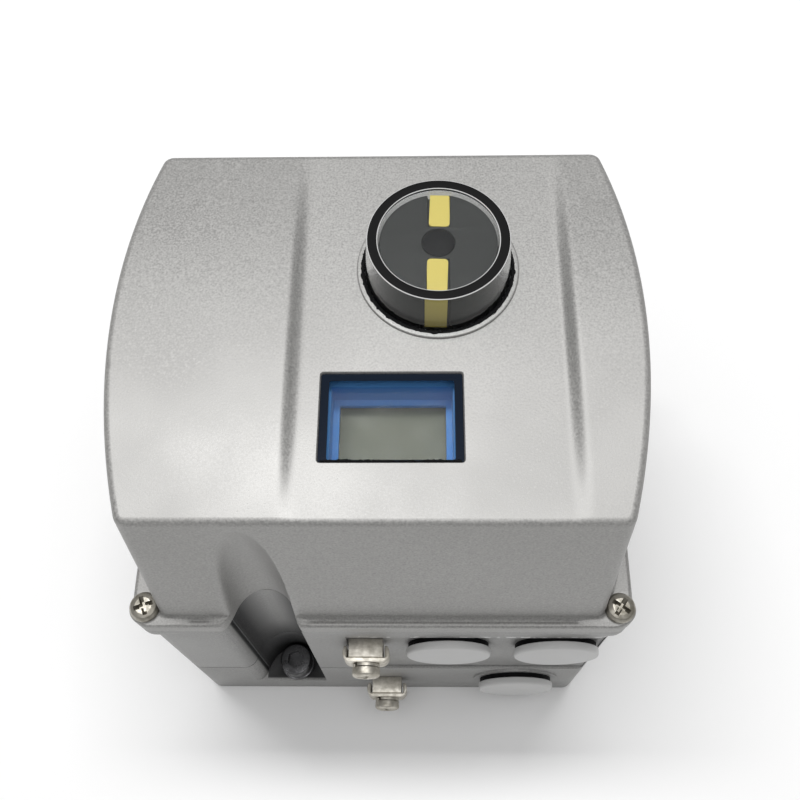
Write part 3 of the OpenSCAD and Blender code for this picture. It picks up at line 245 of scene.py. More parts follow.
# %% Make the paint group
FLAKE_SIZE, PEEL_SIZE, CLOUD_SIZE, PEEL_SHARE = 0.0005, 0.0008, 0.045, 0.5
GLOSS_SPREAD, RELIEF = (0.25, 0.75), 0.0001


def make_paint_group():
    tree, given, out = new_group("flaked_paint", [
        ("Paint", "Color", (0.6, 0.6, 0.59, 1)), ("Flake Share", "Float", 0.85),
        ("Cloud Share", "Float", 0.08), ("Peel Depth", "Float", 0.13),
        ("Gloss Low", "Float", 0.41), ("Gloss High", "Float", 0.57)], SKIN)
    where = add(tree, "TexCoord").outputs["Object"]
    flakes = noise(tree, where, FLAKE_SIZE, 1.0)
    peel = noise(tree, where, PEEL_SIZE, 2.0)
    cloud = noise(tree, where, CLOUD_SIZE, 3.0)
    speck, drift = swing(tree, flakes, given["Flake Share"]), swing(tree, cloud, given["Cloud Share"])
    toned = tinted(tree, given["Paint"], sum_of(tree, "ADD", speck, drift))
    shine = sum_of(tree, "ADD", flakes, sum_of(tree, "SUBTRACT", cloud, 0.5))
    gloss = ramp(tree, shine, *GLOSS_SPREAD, given["Gloss Low"], given["Gloss High"])
    height = sum_of(tree, "ADD", product(tree, peel, PEEL_SHARE), flakes)
    bump = add(tree, "Bump", Strength=given["Peel Depth"], Distance=RELIEF, Height=height)
    return give(tree, out, toned, gloss, bump.outputs[0])


paint_group = make_paint_group()
print("group:", paint_group.name)

# %% Make the plated metal group
BROAD_SIZE, PATCH_SPREAD = 0.006, (0.38, 0.62)
SCRATCH_WAY, SCRATCH_SCALE, SCRATCH_SHARE = (1.0, 9.0, 3.0), 450.0, 0.4


def make_metal_group():
    tree, given, out = new_group("mottled_metal", [
        ("Bright", "Color", (0.75, 0.72, 0.66, 1)), ("Dull", "Color", (0.4, 0.38, 0.34, 1)),
        ("Patch Size", "Float", 700.0), ("Dull Share", "Float", 0.5), ("Pit Depth", "Float", 0.3),
        ("Gloss Low", "Float", 0.2), ("Gloss High", "Float", 0.45)], SKIN)
    where = add(tree, "TexCoord").outputs["Object"]
    patches = add(tree, "TexNoise", Vector=where, Scale=given["Patch Size"], Detail=4.0).outputs[0]
    broad = noise(tree, where, BROAD_SIZE, 2.0)
    mask = ramp(tree, product(tree, sum_of(tree, "ADD", patches, broad), 0.5), *PATCH_SPREAD)
    colour = blend_colours(tree, product(tree, mask, given["Dull Share"]), given["Bright"], given["Dull"])
    gloss = ramp(tree, mask, 0.0, 1.0, given["Gloss Low"], given["Gloss High"])
    drawn_out = add(tree, "Mapping", Vector=where, Scale=SCRATCH_WAY).outputs[0]
    scratches = add(tree, "TexNoise", Vector=drawn_out, Scale=SCRATCH_SCALE, Detail=2.0).outputs[0]
    height = sum_of(tree, "ADD", patches, product(tree, scratches, SCRATCH_SHARE))
    bump = add(tree, "Bump", Strength=given["Pit Depth"], Distance=RELIEF, Height=height)
    return give(tree, out, colour, gloss, bump.outputs[0])


metal_group = make_metal_group()
print("group:", metal_group.name)

# %% Make the moulded plastic group
GRAIN_SIZE, TONE_SIZE, TONE_SPREAD, GRAIN_RELIEF = 0.0005, 0.012, (0.3, 0.7), 0.00008


def make_plastic_group():
    tree, given, out = new_group("moulded_grain", [
        ("Plastic", "Color", (0.1, 0.1, 0.1, 1)), ("Tone Share", "Float", 0.12),
        ("Grain Depth", "Float", 0.2), ("Gloss Low", "Float", 0.42), ("Gloss High", "Float", 0.6)], SKIN)
    where = add(tree, "TexCoord").outputs["Object"]
    grain = noise(tree, where, GRAIN_SIZE, 2.0)
    tone = noise(tree, where, TONE_SIZE, 3.0)
    toned = tinted(tree, given["Plastic"], swing(tree, tone, given["Tone Share"]))
    gloss = ramp(tree, tone, *TONE_SPREAD, given["Gloss Low"], given["Gloss High"])
    bump = add(tree, "Bump", Strength=given["Grain Depth"], Distance=GRAIN_RELIEF, Height=grain)
    return give(tree, out, toned, gloss, bump.outputs[0])


plastic_group = make_plastic_group()
print("group:", plastic_group.name)

# %% [markdown]
# ## Materials
# Each material holds one Principled shader and one of the groups. What is the same all over a surface,
# such as how metallic it is, is set on the shader's own socket; what changes over the surface comes from
# the group.

# %% Build the materials
def material(name, group, values, **shader):
    """A material whose colour, gloss and relief come from a group with the values given."""
    made = bpy.data.materials.new(name)
    made.use_nodes = True
    tree = made.node_tree
    bsdf = tree.nodes["Principled BSDF"]
    skin = tree.nodes.new("ShaderNodeGroup")
    skin.node_tree = group
    for label, value in values.items():
        skin.inputs[label.replace("_", " ")].default_value = value
    for source, target in (("Color", "Base Color"), ("Roughness", "Roughness"), ("Normal", "Normal")):
        tree.links.new(skin.outputs[source], bsdf.inputs[target])
    for label, value in shader.items():
        bsdf.inputs[label.replace("_", " ")].default_value = value
    return made


def paint(name, colour, metallic, **values):
    """A flaked silver or grey paint."""
    return material(name, paint_group, {"Paint": (*colour, 1), **values}, Metallic=metallic)


def metal(name, bright, dull, **values):
    """A plated or bare metal."""
    return material(name, metal_group, {"Bright": (*bright, 1), "Dull": (*dull, 1), **values}, Metallic=1.0)


def plastic(name, colour, shine=0.5, **values):
    """A moulded plastic or a rubber."""
    return material(name, plastic_group, {"Plastic": (*colour, 1), **values}, Specular_IOR_Level=shine)


finishes = {
    "cover_paint": paint("silver_cover_paint", (0.342, 0.338, 0.329), 0.5),
    "nickel_steel": metal("nickel_plate", (0.68, 0.65, 0.585), (0.38, 0.355, 0.30),
                          Dull_Share=0.8, Pit_Depth=0.5, Gloss_Low=0.33, Gloss_High=0.55),
    # A darker copy of the nickel plate, used on the cover's pan heads.
    "darker_nickel": metal("darker_nickel_plate", (0.42, 0.40, 0.355), (0.20, 0.185, 0.15),
                         Dull_Share=0.8, Pit_Depth=0.5, Gloss_Low=0.35, Gloss_High=0.55),
    "zinc_steel": metal("zinc_plate", (0.72, 0.73, 0.75), (0.5, 0.5, 0.5)),
    "black_steel": metal("blackened_steel", (0.13, 0.13, 0.135), (0.05, 0.05, 0.05), Gloss_High=0.5),
    "shaft_steel": metal("ground_steel", (0.66, 0.66, 0.67), (0.48, 0.48, 0.49), Pit_Depth=0.15),
    "valve_alloy": metal("milled_alloy", (0.70, 0.72, 0.74), (0.52, 0.54, 0.56)),
    "bush_bronze": metal("sintered_bronze", (0.62, 0.42, 0.20), (0.36, 0.24, 0.12), Pit_Depth=0.5),
    "seal_rubber": plastic("black_rubber", (0.006, 0.006, 0.0065), 0.05, Gloss_Low=0.45, Gloss_High=0.6),
    "display_mask": plastic("navy_mask", (0.003, 0.0075, 0.017), 0.04, Gloss_Low=0.3, Gloss_High=0.4),
    "bezel_blue": plastic("blue_bezel", (0.08, 0.245, 0.56), 0.08, Gloss_Low=0.35, Gloss_High=0.5),
    "lcd_glass": plastic("lcd_film", (0.158, 0.163, 0.125), 0.06,
                         Grain_Depth=0.05, Gloss_Low=0.3, Gloss_High=0.38),
    "board_green": plastic("solder_mask", (0.02, 0.16, 0.07), Gloss_Low=0.25, Gloss_High=0.4),
    "terminal_green": plastic("terminal_plastic", (0.05, 0.26, 0.10)),
    "inner_plastic": plastic("inner_cover_plastic", (0.09, 0.09, 0.095)),
    "key_plastic": plastic("key_plastic", (0.72, 0.72, 0.70)),
    "cam_plastic": plastic("cam_plastic", (0.72, 0.28, 0.05)),
    "drum_plastic": plastic("drum_plastic", (0.038, 0.039, 0.038), 0.06, Gloss_Low=0.5, Gloss_High=0.65),
    "stripe_yellow": plastic("stripe_yellow", (0.63, 0.515, 0.135), 0.1, Tone_Share=0.06),
    "switch_blue": plastic("switch_plastic", (0.04, 0.13, 0.45)),
    "plug_grey": plastic("plug_plastic", (0.56, 0.56, 0.555), Tone_Share=0.06, Grain_Depth=0.3),
}
print("materials:", len(finishes))

# %% [markdown]
# ## Housing paint with painted shade in its channel
# The housings wear the same silver as the cover. Three things break it up, and all follow from where a
# point is: the access channels get painted shade, black but for a painted highlight down their middle, the
# milled pad has paint chipped off along its top edge, and a thin dark line runs along the seam. One group
# turns the place into three masks.

# %% Make the housing masks
# Painted shade fills the access channels, with a painted highlight down their middle that grows upwards.
CHANNEL_AXES = ((-0.0452, -0.0762, -1), (0.0160, 0.0462, 1))
CHANNEL_HALF, CHANNEL_SOFT = 0.0098, 0.0002
CHANNEL_MOUTH, CHANNEL_BACK = (-0.0009, -0.0003), (0.0108, 0.0104)
PAINTED_SHEEN_OFF, PAINTED_SHEEN_HALF, PAINTED_SHEEN_SOFT, PAINTED_SHEEN_SHARE = 0.0008, 0.001, 0.0062, 0.95
PAINTED_SHEEN_RISE = (0.030, 0.052)
SEAM_AT, SEAM_HALF, SEAM_SOFT = 0.035, 0.00022, 0.0001
CHIP_AT, CHIP_HALF, CHIP_SOFT, CHIP_SIZE, CHIP_SHARE = 0.0797, 0.0006, 0.0002, 0.0024, (0.5, 0.58)
WOBBLE_SIZE, WOBBLE_REACH = 0.0022, 0.0012
PAD_FACE, PAD_SKIN, PAD_MID, PAD_HALF, PAD_SOFT, PAD_CLEAN = -0.0763, 0.0002, 0.0102, 0.0345, 0.001, 0.85


def near_zero(tree, value, reach, soft):
    """A mask that is 1 where a value lies within a reach of zero and fades over a soft width."""
    return ramp(tree, sum_of(tree, "ABSOLUTE", value, 0.0), reach + soft, reach)


def make_housing_masks():
    tree, _, out = new_group("housing_masks", [], [(mask, "Float") for mask in ("Dark", "Chip", "Seam")])
    where = add(tree, "TexCoord").outputs["Object"]
    place = add(tree, "SeparateXYZ", Vector=where).outputs
    dark = 0.0
    # Painted shade inside each channel, less where the painted highlight runs down its middle.
    for x, y, side in CHANNEL_AXES:
        off = sum_of(tree, "SUBTRACT", place[0], x)
        inwards = product(tree, sum_of(tree, "SUBTRACT", place[1], y), -side)
        painted_sheen = near_zero(tree, sum_of(tree, "ADD", off, PAINTED_SHEEN_OFF), PAINTED_SHEEN_HALF, PAINTED_SHEEN_SOFT)
        painted_lit = product(tree, painted_sheen, ramp(tree, place[2], *PAINTED_SHEEN_RISE), PAINTED_SHEEN_SHARE)
        here = product(tree, near_zero(tree, off, CHANNEL_HALF, CHANNEL_SOFT),
                       ramp(tree, inwards, *CHANNEL_MOUTH), ramp(tree, inwards, *CHANNEL_BACK))
        dark = sum_of(tree, "MAXIMUM", dark, product(tree, here, sum_of(tree, "SUBTRACT", 1.0, painted_lit)))
    wobble = swing(tree, noise(tree, where, WOBBLE_SIZE, 3.0), WOBBLE_REACH)
    height = sum_of(tree, "ADD", sum_of(tree, "SUBTRACT", place[2], CHIP_AT), wobble)
    flaked = ramp(tree, noise(tree, where, CHIP_SIZE, 4.0), *CHIP_SHARE)
    on_pad = near_zero(tree, sum_of(tree, "SUBTRACT", place[0], PAD_MID), PAD_HALF, PAD_SOFT)
    pad = product(tree, ramp(tree, place[1], PAD_FACE + PAD_SKIN, PAD_FACE), on_pad)
    chip = product(tree, near_zero(tree, height, CHIP_HALF, CHIP_SOFT), flaked, pad)
    line = near_zero(tree, sum_of(tree, "SUBTRACT", place[2], SEAM_AT), SEAM_HALF, SEAM_SOFT)
    seam = product(tree, line, sum_of(tree, "SUBTRACT", 1.0, product(tree, pad, PAD_CLEAN)))
    return give(tree, out, dark, chip, seam)


housing_masks = make_housing_masks()
print("group:", housing_masks.name)

# %% Build the housing paint
# The channel colour is painted shade; the seam colour is a dark line along the joint.
CHANNEL_PAINTED_SHADE, SEAM_DARK = (0.04, 0.04, 0.041, 1), (0.03, 0.03, 0.03, 1)
CHIP_BRIGHT = (0.62, 0.62, 0.61, 1)


def housing_paint(name, colour, metallic):
    made = paint(name, colour, metallic, Gloss_High=0.56)
    tree = made.node_tree
    bsdf = tree.nodes["Principled BSDF"]
    masks = tree.nodes.new("ShaderNodeGroup")
    masks.node_tree = housing_masks
    colour = bsdf.inputs["Base Color"].links[0].from_socket
    for mask, over in (("Dark", CHANNEL_PAINTED_SHADE), ("Chip", CHIP_BRIGHT), ("Seam", SEAM_DARK)):
        colour = blend_colours(tree, masks.outputs[mask], colour, over)
    tree.links.new(colour, bsdf.inputs["Base Color"])
    return made


finishes["housing_paint"] = housing_paint("silver_housing_paint", (0.30, 0.298, 0.292), 0.5)
print("material:", finishes["housing_paint"].name)

# %% [markdown]
# ## Clear plastic
# The cup and the display pane are clear. A Principled shader with full transmission bends light as the
# real wall does, but it also blocks the lamps from what is behind. So rays that look for a lamp, and
# rays that a matt surface sends out, pass straight through by a Transparent shader that only they see.
# The cup's edge looks black from above, because the eye looks down its wall onto the sealant. That black is
# a painted dark reflection on a thin ring at the edge, and yet it casts no shadow; it takes the same way
# out.

# %% Build the clear materials
CLEAR_IOR, SMUDGE_SIZE, SMUDGE_SPREAD = 1.49, 0.004, (0.35, 0.7)
CLEAR_TINT = (0.97, 0.98, 0.98, 1)


def let_light_pass(made):
    """Lets the rays that look for light pass a material, while the eye sees its own shader."""
    tree = made.node_tree
    passing = add(tree, "BsdfTransparent", Color=CLEAR_TINT)
    path = add(tree, "LightPath").outputs
    for_light = sum_of(tree, "MAXIMUM", path["Is Shadow Ray"], path["Is Diffuse Ray"])
    mixed = add(tree, "MixShader", Fac=for_light)
    tree.links.new(tree.nodes["Principled BSDF"].outputs[0], mixed.inputs[1])
    tree.links.new(passing.outputs[0], mixed.inputs[2])
    tree.links.new(mixed.outputs[0], tree.nodes["Material Output"].inputs["Surface"])
    return made


def clear_plastic(name, rough):
    """A clear plastic with smudges that are a little rougher."""
    made = bpy.data.materials.new(name)
    made.use_nodes = True
    tree = made.node_tree
    bsdf = tree.nodes["Principled BSDF"]
    bsdf.inputs["Base Color"].default_value = CLEAR_TINT
    bsdf.inputs["Transmission Weight"].default_value = 1.0
    bsdf.inputs["IOR"].default_value = CLEAR_IOR
    where = add(tree, "TexCoord").outputs["Object"]
    smudge = ramp(tree, noise(tree, where, SMUDGE_SIZE, 4.0), *SMUDGE_SPREAD, rough, 3 * rough)
    tree.links.new(smudge, bsdf.inputs["Roughness"])
    return let_light_pass(made)


finishes["clear_window"] = clear_plastic("clear_acrylic", rough=0.012)
# Painted dark reflection for the cup's edge, which lets light pass as the clear plastic does.
finishes["painted_reflection_edge"] = let_light_pass(plastic("painted_reflection_cup_edge", (0.0095, 0.0095, 0.0098), 0.05))
print("materials:", finishes["clear_window"].name, finishes["painted_reflection_edge"].name)

# %% [markdown]
# ## Finish the pieces that stay as CAD
# Many inner pieces have the right shape already: boards, the valve, cams, bushes and the shaft. They keep
# their CAD solids and only take a finish. The list names the finish first and then its nodes.

# %% Give every CAD node its finish
FINISH_OF = {
    "cover_paint": ["main_cover"],
    "housing_paint": ["main_housing", "extension_housing"],
    "nickel_steel": ["cover_screws", "earth_blocks", "earth_saddles", "earth_washers", "earth_screws"],
    "zinc_steel": ["extension_screws", "retainer_screws", "bezel_screws", "inner_cover_screws",
                   "board_screws", "terminal_screws", "bracket_screws", "switch_bracket"],
    "black_steel": ["mounting_screws", "mounting_washers", "shaft_circlip", "sensor_magnet"],
    "clear_window": ["indicator_window", "display_pane"],
    "seal_rubber": ["extension_gasket", "cover_gasket", "window_seal", "valve_gasket", "shaft_seal",
                    "plug_seals", "keypad_frame", "indicator_screw"],
    "display_mask": ["display_seal"],
    "bezel_blue": ["display_bezel"],
    "lcd_glass": ["lcd_panel"],
    "board_green": ["interface_board", "main_board", "sensor_board"],
    "terminal_green": ["terminal_block", "switch_terminals"],
    "inner_plastic": ["window_retainer", "inner_cover", "prestage_unit"],
    "key_plastic": ["key_1", "key_2", "key_3", "key_4"],
    "valve_alloy": ["valve_body", "valve_end_caps"],
    "bush_bronze": ["lower_bush", "upper_bush"],
    "shaft_steel": ["feedback_shaft", "valve_spool"],
    "cam_plastic": ["lower_cam", "upper_cam"],
    "drum_plastic": ["indicator_drum"],
    "stripe_yellow": ["indicator_stripes"],
    "switch_blue": ["lower_switch", "upper_switch"],
    "plug_grey": ["conduit_plugs"],
}


def finish(obj, slot):
    """Gives an object one of the finishes, on all its faces."""
    obj.data.materials.clear()
    obj.data.materials.append(finishes[slot])
    return obj


slot_of = {node: slot for slot, members in FINISH_OF.items() for node in members}
for name in sorted(nodes):
    finish(nodes[name], slot_of[name])
print("finished CAD nodes:", len(slot_of))

# %% [markdown]
# ## Mesh helpers
# New pieces are drawn in millimetres about a handy point and written to the mesh in metres, in the
# frame, so that every object stays at the origin. One helper stands a new piece in for its CAD node: it
# rides the same body, takes the same finish and hides the node.

# %% Define the mesh helpers
SHARP_ANGLE = math.radians(32)
WELD = 1e-7


def mesh_object(name, verts_mm, faces, at_mm=(0, 0, 0)):
    """A new object from vertices in millimetres about a point."""
    mesh = bpy.data.meshes.new(name)
    points = (np.asarray(verts_mm, float) + np.asarray(at_mm, float)) * MM
    mesh.from_pydata(points.tolist(), [], [list(map(int, f)) for f in faces])
    mesh.update()
    return link(bpy.data.objects.new(name, mesh))


def welded(mesh):
    """A mesh opened for editing, with its doubles merged."""
    shape = bmesh.new()
    shape.from_mesh(mesh)
    bmesh.ops.remove_doubles(shape, verts=shape.verts, dist=WELD)
    return shape


def face_outwards(obj):
    """Merges doubles and turns every face outwards."""
    shape = welded(obj.data)
    bmesh.ops.recalc_face_normals(shape, faces=shape.faces)
    shape.to_mesh(obj.data)
    shape.free()
    return obj


def settle(obj):
    """Turns an object's modifiers into plain mesh and smooths it up to sharp edges."""
    graph = bpy.context.evaluated_depsgraph_get()
    mesh = bpy.data.meshes.new_from_object(obj.evaluated_get(graph))
    obj.modifiers.clear()
    obj.data = mesh
    mesh.shade_smooth()
    mesh.set_sharp_from_angle(angle=SHARP_ANGLE)
    return obj


def stand_in(obj, node):
    """Makes an object stand for a CAD node, on the node's body and in its finish."""
    finish(obj, slot_of[node])
    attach(obj, nodes[node]["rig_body"])
    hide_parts(node)
    print(obj.name, "stands for", node, "with", len(obj.data.polygons), "faces")
    return obj


def extra(obj, slot, node):
    """Adds a piece that no CAD node stands for, riding the body of a node beside it."""
    finish(obj, slot)
    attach(obj, nodes[node]["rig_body"])
    return obj


def drop(*objs):
    """Removes helper objects."""
    for obj in objs:
        bpy.data.objects.remove(obj)


print("mesh helpers ready")

# %% [markdown]
# ## Round profiles and turned pieces
# Screws, plugs, the cup and the drum are turned parts. A turned part is a profile of radius and height
# swept about an axis. Real corners are never sharp, so a helper first rounds the profile's corners with
# short arcs; a bevel modifier would do it too, but only after the sweep and with less control.

# %% Define the lathe
CORNER_SHARE, TINY, STRAIGHT = 0.45, 1e-6, math.pi - 0.02


def rounded(points, radius, steps=4):
    """A closed outline with its corners rounded. A point may carry its own radius as a third number."""
    out = []
    count = len(points)
    for i, point in enumerate(points):
        here = Vector(point[:2])
        before, after = Vector(points[i - 1][:2]) - here, Vector(points[(i + 1) % count][:2]) - here
        wanted = point[2] if len(point) > 2 else radius
        turn = before.angle(after)
        reach = wanted / max(math.tan(turn / 2), TINY)
        reach = min(reach, CORNER_SHARE * before.length, CORNER_SHARE * after.length)
        if reach < TINY or turn > STRAIGHT:
            out.append(tuple(here))
            continue
        start, end = here + before.normalized() * reach, here + after.normalized() * reach
        for k in range(steps + 1):
            t = k / steps
            out.append(tuple((1 - t) ** 2 * start + 2 * t * (1 - t) * here + t * t * end))
    return out


def lathe(name, profile, steps, at_mm=(0, 0, 0)):
    """A closed outline of radius and height, turned about an upright axis."""
    count = len(profile)
    angles = [2 * math.pi * k / steps for k in range(steps)]
    verts = [(max(r, 0) * math.cos(a), max(r, 0) * math.sin(a), z) for a in angles for r, z in profile]
    faces = [(k * count + i, ((k + 1) % steps) * count + i, ((k + 1) % steps) * count + (i + 1) % count,
              k * count + (i + 1) % count) for k in range(steps) for i in range(count)]
    return face_outwards(mesh_object(name, verts, faces, at_mm))


def cylinder(name, radius, low, high, steps, at_mm=(0, 0, 0)):
    """A plain cylinder or prism between two heights."""
    return lathe(name, [(0, low), (radius, low), (radius, high), (0, high)], steps, at_mm)


print("lathe ready")

# %% [markdown]
# ## Sizes of the cover
# The cover is a casting: a flat band between two arched wings, barrel sides, drafted front and back
# walls, and a screw flange at the foot. Its plan and its foot come from the frame's own box; the rest are
# the sizes of the casting, in millimetres from the centre of the case and up from the cover's foot.

# %% State the cover's sizes
def box_of(*names):
    """The low and the high corner of CAD nodes, in millimetres."""
    points = []
    for name in names:
        flat = np.empty(3 * len(nodes[name].data.vertices))
        nodes[name].data.vertices.foreach_get("co", flat)
        points.append(flat.reshape(-1, 3))
    points = np.concatenate(points) / MM
    return points.min(axis=0), points.max(axis=0)


cover_low, cover_high = box_of("main_cover")
CASE_X, CASE_Y = (cover_low[:2] + cover_high[:2]) / 2
COVER_FOOT = cover_low[2]
COVER_AT = (CASE_X, CASE_Y, COVER_FOOT)
COVER_H, WING_RISE, COVER_WALL = 52.4, 2.5, 3.0
TOP_HALF_L, FOOT_HALF_L = 51.0, 59.8
CORNER_HALF_W, SIDE_R, CORNER_R = 56.795, 184.2, 3.0
FLANGE_HALF_W, FLANGE_HALF_L, FLANGE_H, FLANGE_R = 64.9, 62.6, 5.0, 5.0
LEFT_CREASE, RIGHT_CREASE, CREASE_HALF = -19.7, 45.8, 2.5
TOP_EDGE, FOOT_FILLET, LIP_EDGE = 1.7, 1.5, 1.2
CHANNEL_X, CHANNEL_Y = -30.6, -61.2
SCALLOP_HALF_W, SCALLOP_DEPTH = 8.4, 9.8
print("case centre in mm:", round(CASE_X, 2), round(CASE_Y, 2), "cover foot:", round(COVER_FOOT, 2))

# %% [markdown]
# ## Rings of the cover
# A casting like this could be sculpted or cut from solids, but its faces flow into each other. So it is
# lofted: every level of the wall is one closed ring with the same number of points, and quads join one
# ring to the next. The front has close columns where the scallop for the screwdriver runs down the wall.

# %% Define the ring of one level
COLUMN_END, FINE_STEP, COARSE_STEP, FINE_REACH = 53.8, 0.32, 1.3, 11.0
CREASE_COLUMNS, CREASE_REACH, CREASE_SHARE = 42.5, 7.0, 0.5
COLUMN_SAMPLES, NEAR_POWER, STRETCH_FROM = 4001, 6, 44.0
SIDE_ROWS, CORNER_STEPS = 72, 8
SWELL_RUN, SWELL_INSET, SWELL_SOFT = 6.0, 0.05, 1.5


def ease(t):
    """A ramp from 0 to 1 that starts and ends flat."""
    t = np.clip(t, 0, 1)
    return t * t * (3 - 2 * t)


def smooth_max(a, b, width):
    """The larger of two values, blended where they are closer than a width."""
    share = np.clip(0.5 + 0.5 * (a - b) / width, 0, 1)
    return b + (a - b) * share + width * share * (1 - share)


def front_columns():
    """Places along the front edge, close together round the scallop and the outer crease."""
    x = np.linspace(-COLUMN_END, COLUMN_END, COLUMN_SAMPLES)
    near_scallop = np.exp(-((np.abs(x) + CHANNEL_X) / FINE_REACH) ** NEAR_POWER)
    near_crease = np.exp(-((np.abs(x) - CREASE_COLUMNS) / CREASE_REACH) ** NEAR_POWER)
    near = np.maximum(near_scallop, CREASE_SHARE * near_crease)
    dense = 1 / COARSE_STEP + (1 / FINE_STEP - 1 / COARSE_STEP) * near
    total = np.concatenate([[0], np.cumsum(dense[1:] * np.diff(x))])
    return np.interp(np.linspace(0, total[-1], int(total[-1]) + 1), total, x)


COLUMNS = front_columns()


def ring(front_y, corner_at, corner_r, corner_end, side):
    """One closed level, from the middle of the front left corner and round by the right."""
    share = ease((np.abs(COLUMNS) - STRETCH_FROM) / (COLUMN_END - STRETCH_FROM))
    x = COLUMNS + np.sign(COLUMNS) * (share * (corner_at[0] - COLUMN_END))
    front = np.stack([x, np.full(len(COLUMNS), front_y)], axis=1)
    turn = np.linspace(-math.pi / 2, -corner_end, CORNER_STEPS + 1)[1:-1]
    corner = np.stack([np.cos(turn), np.sin(turn)], axis=1) * corner_r + (corner_at[0], -corner_at[1])
    half = np.concatenate([front, corner, side, corner[::-1] * (1, -1)])
    return np.roll(np.concatenate([half, -half]), CORNER_STEPS // 2, axis=0)


def barrel_ring(half_l, inset):
    """A level of the wall: straight front and back, and sides that are arcs."""
    arc_x = CORNER_HALF_W - math.sqrt(SIDE_R ** 2 - half_l ** 2)
    side_r, corner_r = SIDE_R - inset, max(CORNER_R - inset, 0.5)
    corner_y = half_l - inset - corner_r
    corner_x = arc_x + math.sqrt((side_r - corner_r) ** 2 - corner_y ** 2)
    end = math.atan2(corner_y, corner_x - arc_x)
    turn = np.linspace(-end, end, SIDE_ROWS + 1)
    side = np.stack([arc_x + side_r * np.cos(turn), side_r * np.sin(turn)], axis=1)
    return ring(inset - half_l, (corner_x, corner_y), corner_r, end, side)


def flange_ring(inset):
    """A level of the flange: a rounded rectangle that swells where the barrel reaches past it."""
    half_w, half_l, corner_r = FLANGE_HALF_W - inset, FLANGE_HALF_L - inset, FLANGE_R - inset
    y = np.linspace(corner_r - half_l, half_l - corner_r, SIDE_ROWS + 1)
    arc_x = CORNER_HALF_W - math.sqrt(SIDE_R ** 2 - FOOT_HALF_L ** 2)
    swell = arc_x + np.sqrt((SIDE_R - inset) ** 2 - y ** 2)
    near_corner = ease((half_l - corner_r - np.abs(y)) / SWELL_RUN)
    swollen = smooth_max(half_w, swell - SWELL_INSET, SWELL_SOFT)
    side = np.stack([half_w + (swollen - half_w) * near_corner, y], axis=1)
    return ring(-half_l, (half_w - corner_r, half_l - corner_r), corner_r, 0.0, side)


RING = len(barrel_ring(TOP_HALF_L, 0))
print("points in one ring:", RING)

# %% [markdown]
# ## Scallop and wings
# A half round scallop runs down the front wall to let a driver reach the mounting screw, and its twin is
# at the rear. It fades out just under the top edge, with a soft left side and a firmer right side. The
# wings rise above the flat band in a low arch, and the crease between them is firm in the middle and soft
# at its ends.

# %% Define the scallop and the height of the top
LEFT_SLOPE, RIGHT_SLOPE = 2.4, 3.6
SOFT_LEFT, SOFT_RIGHT, SOFT_FLANGE, SOFT_TURN = 1.4, 0.7, 3.6, 4.0
SCALLOP_REACH, FRONT_DEPTH = 2.2 * SCALLOP_HALF_W, CORNER_R + COVER_WALL + 2.0


def scallop_line(x):
    """How far back the scallop cuts the front at each x: a half round with straight outer flanks."""
    across = (x - CHANNEL_X) / SCALLOP_HALF_W
    out = np.full_like(across, CHANNEL_Y)
    for sign, slope in ((-1, LEFT_SLOPE), (1, RIGHT_SLOPE)):
        steep = slope * SCALLOP_HALF_W / SCALLOP_DEPTH
        knee = steep / math.sqrt(1 + steep ** 2)
        here = across * sign >= 0
        run = np.minimum(across * sign, knee)
        bow = CHANNEL_Y + SCALLOP_DEPTH * np.sqrt(1 - run ** 2)
        past = np.maximum(across * sign - knee, 0) * SCALLOP_HALF_W * slope
        out = np.where(here, bow - past, out)
    return out


def with_scallop(level, share=1.0, flange=False, set_back=0.0):
    """Pushes the front of a ring back along the scallop, and its rear by a half turn."""
    out = level.copy()
    for sign in (1, -1):
        at_front = level[:, 1] * sign < -TOP_HALF_L + FRONT_DEPTH
        x, y = level[at_front, 0] * sign, level[at_front, 1] * sign
        leftness = ease((CHANNEL_X + SOFT_TURN - x) / (2 * SOFT_TURN))
        soft = SOFT_FLANGE if flange else SOFT_RIGHT + (SOFT_LEFT - SOFT_RIGHT) * leftness
        cut = smooth_max(y, scallop_line(x) + set_back, soft)
        near = np.abs(x - CHANNEL_X) < SCALLOP_REACH
        out[at_front, 1] = sign * np.where(near, y + (cut - y) * share, y)
    return out


def top_height(points):
    """The height of the cover's top over the flat band, the creases and the wings."""
    x, y = points[:, 0], points[:, 1]
    arch = np.clip(1 - (y / TOP_HALF_L) ** 2, 0, 1)
    wings = np.zeros(len(points))
    for past_crease in (LEFT_CREASE - x, x - RIGHT_CREASE):
        soft = ease((past_crease + CREASE_HALF) / (2 * CREASE_HALF))
        wings += soft + (ease(soft) - soft) * arch
    return COVER_H + WING_RISE * arch * wings


print("scallop reaches y =", round(float(scallop_line(np.array([CHANNEL_X]))[0]), 2))

# %% [markdown]
# ## Loft of the cover
# The rings go from the top's edge over a small fillet, down the drafted wall, through a hollow fillet
# onto the flange, over the flange's lip and down to the foot, then back up inside as a 3 mm wall. The
# flange has shallow dips between the screw ears and the scallop. The top is a patch between four sides.

# %% Make the rings and the patch
WALL_LEVELS, ARC_STEPS, SCALLOP_FADE, SCALLOP_BOW = 40, 5, 0.09, 1.1
DIP_DEPTH, DIP_RUN, DIP_AT_LIP = 0.45, 3.0, 0.45
DIP_ENDS = ((-53.0, -43.0), (-20.5, 54.0))
ROOM_SHARE = 0.4


def raised(level, height):
    """A ring with its heights as a third coordinate."""
    return np.column_stack([level, np.broadcast_to(height, len(level))])


def flange_dip(level):
    """The depth of the dips in the flange along the front, and along the rear by a half turn."""
    depth = np.zeros(len(level))
    for sign in (1, -1):
        x = level[:, 0] * sign
        at_front = level[:, 1] * sign < -FOOT_HALF_L + FLANGE_R
        for start, end in DIP_ENDS:
            depth += at_front * ease((x - start) / DIP_RUN) * ease((end - x) / DIP_RUN)
    return depth * DIP_DEPTH


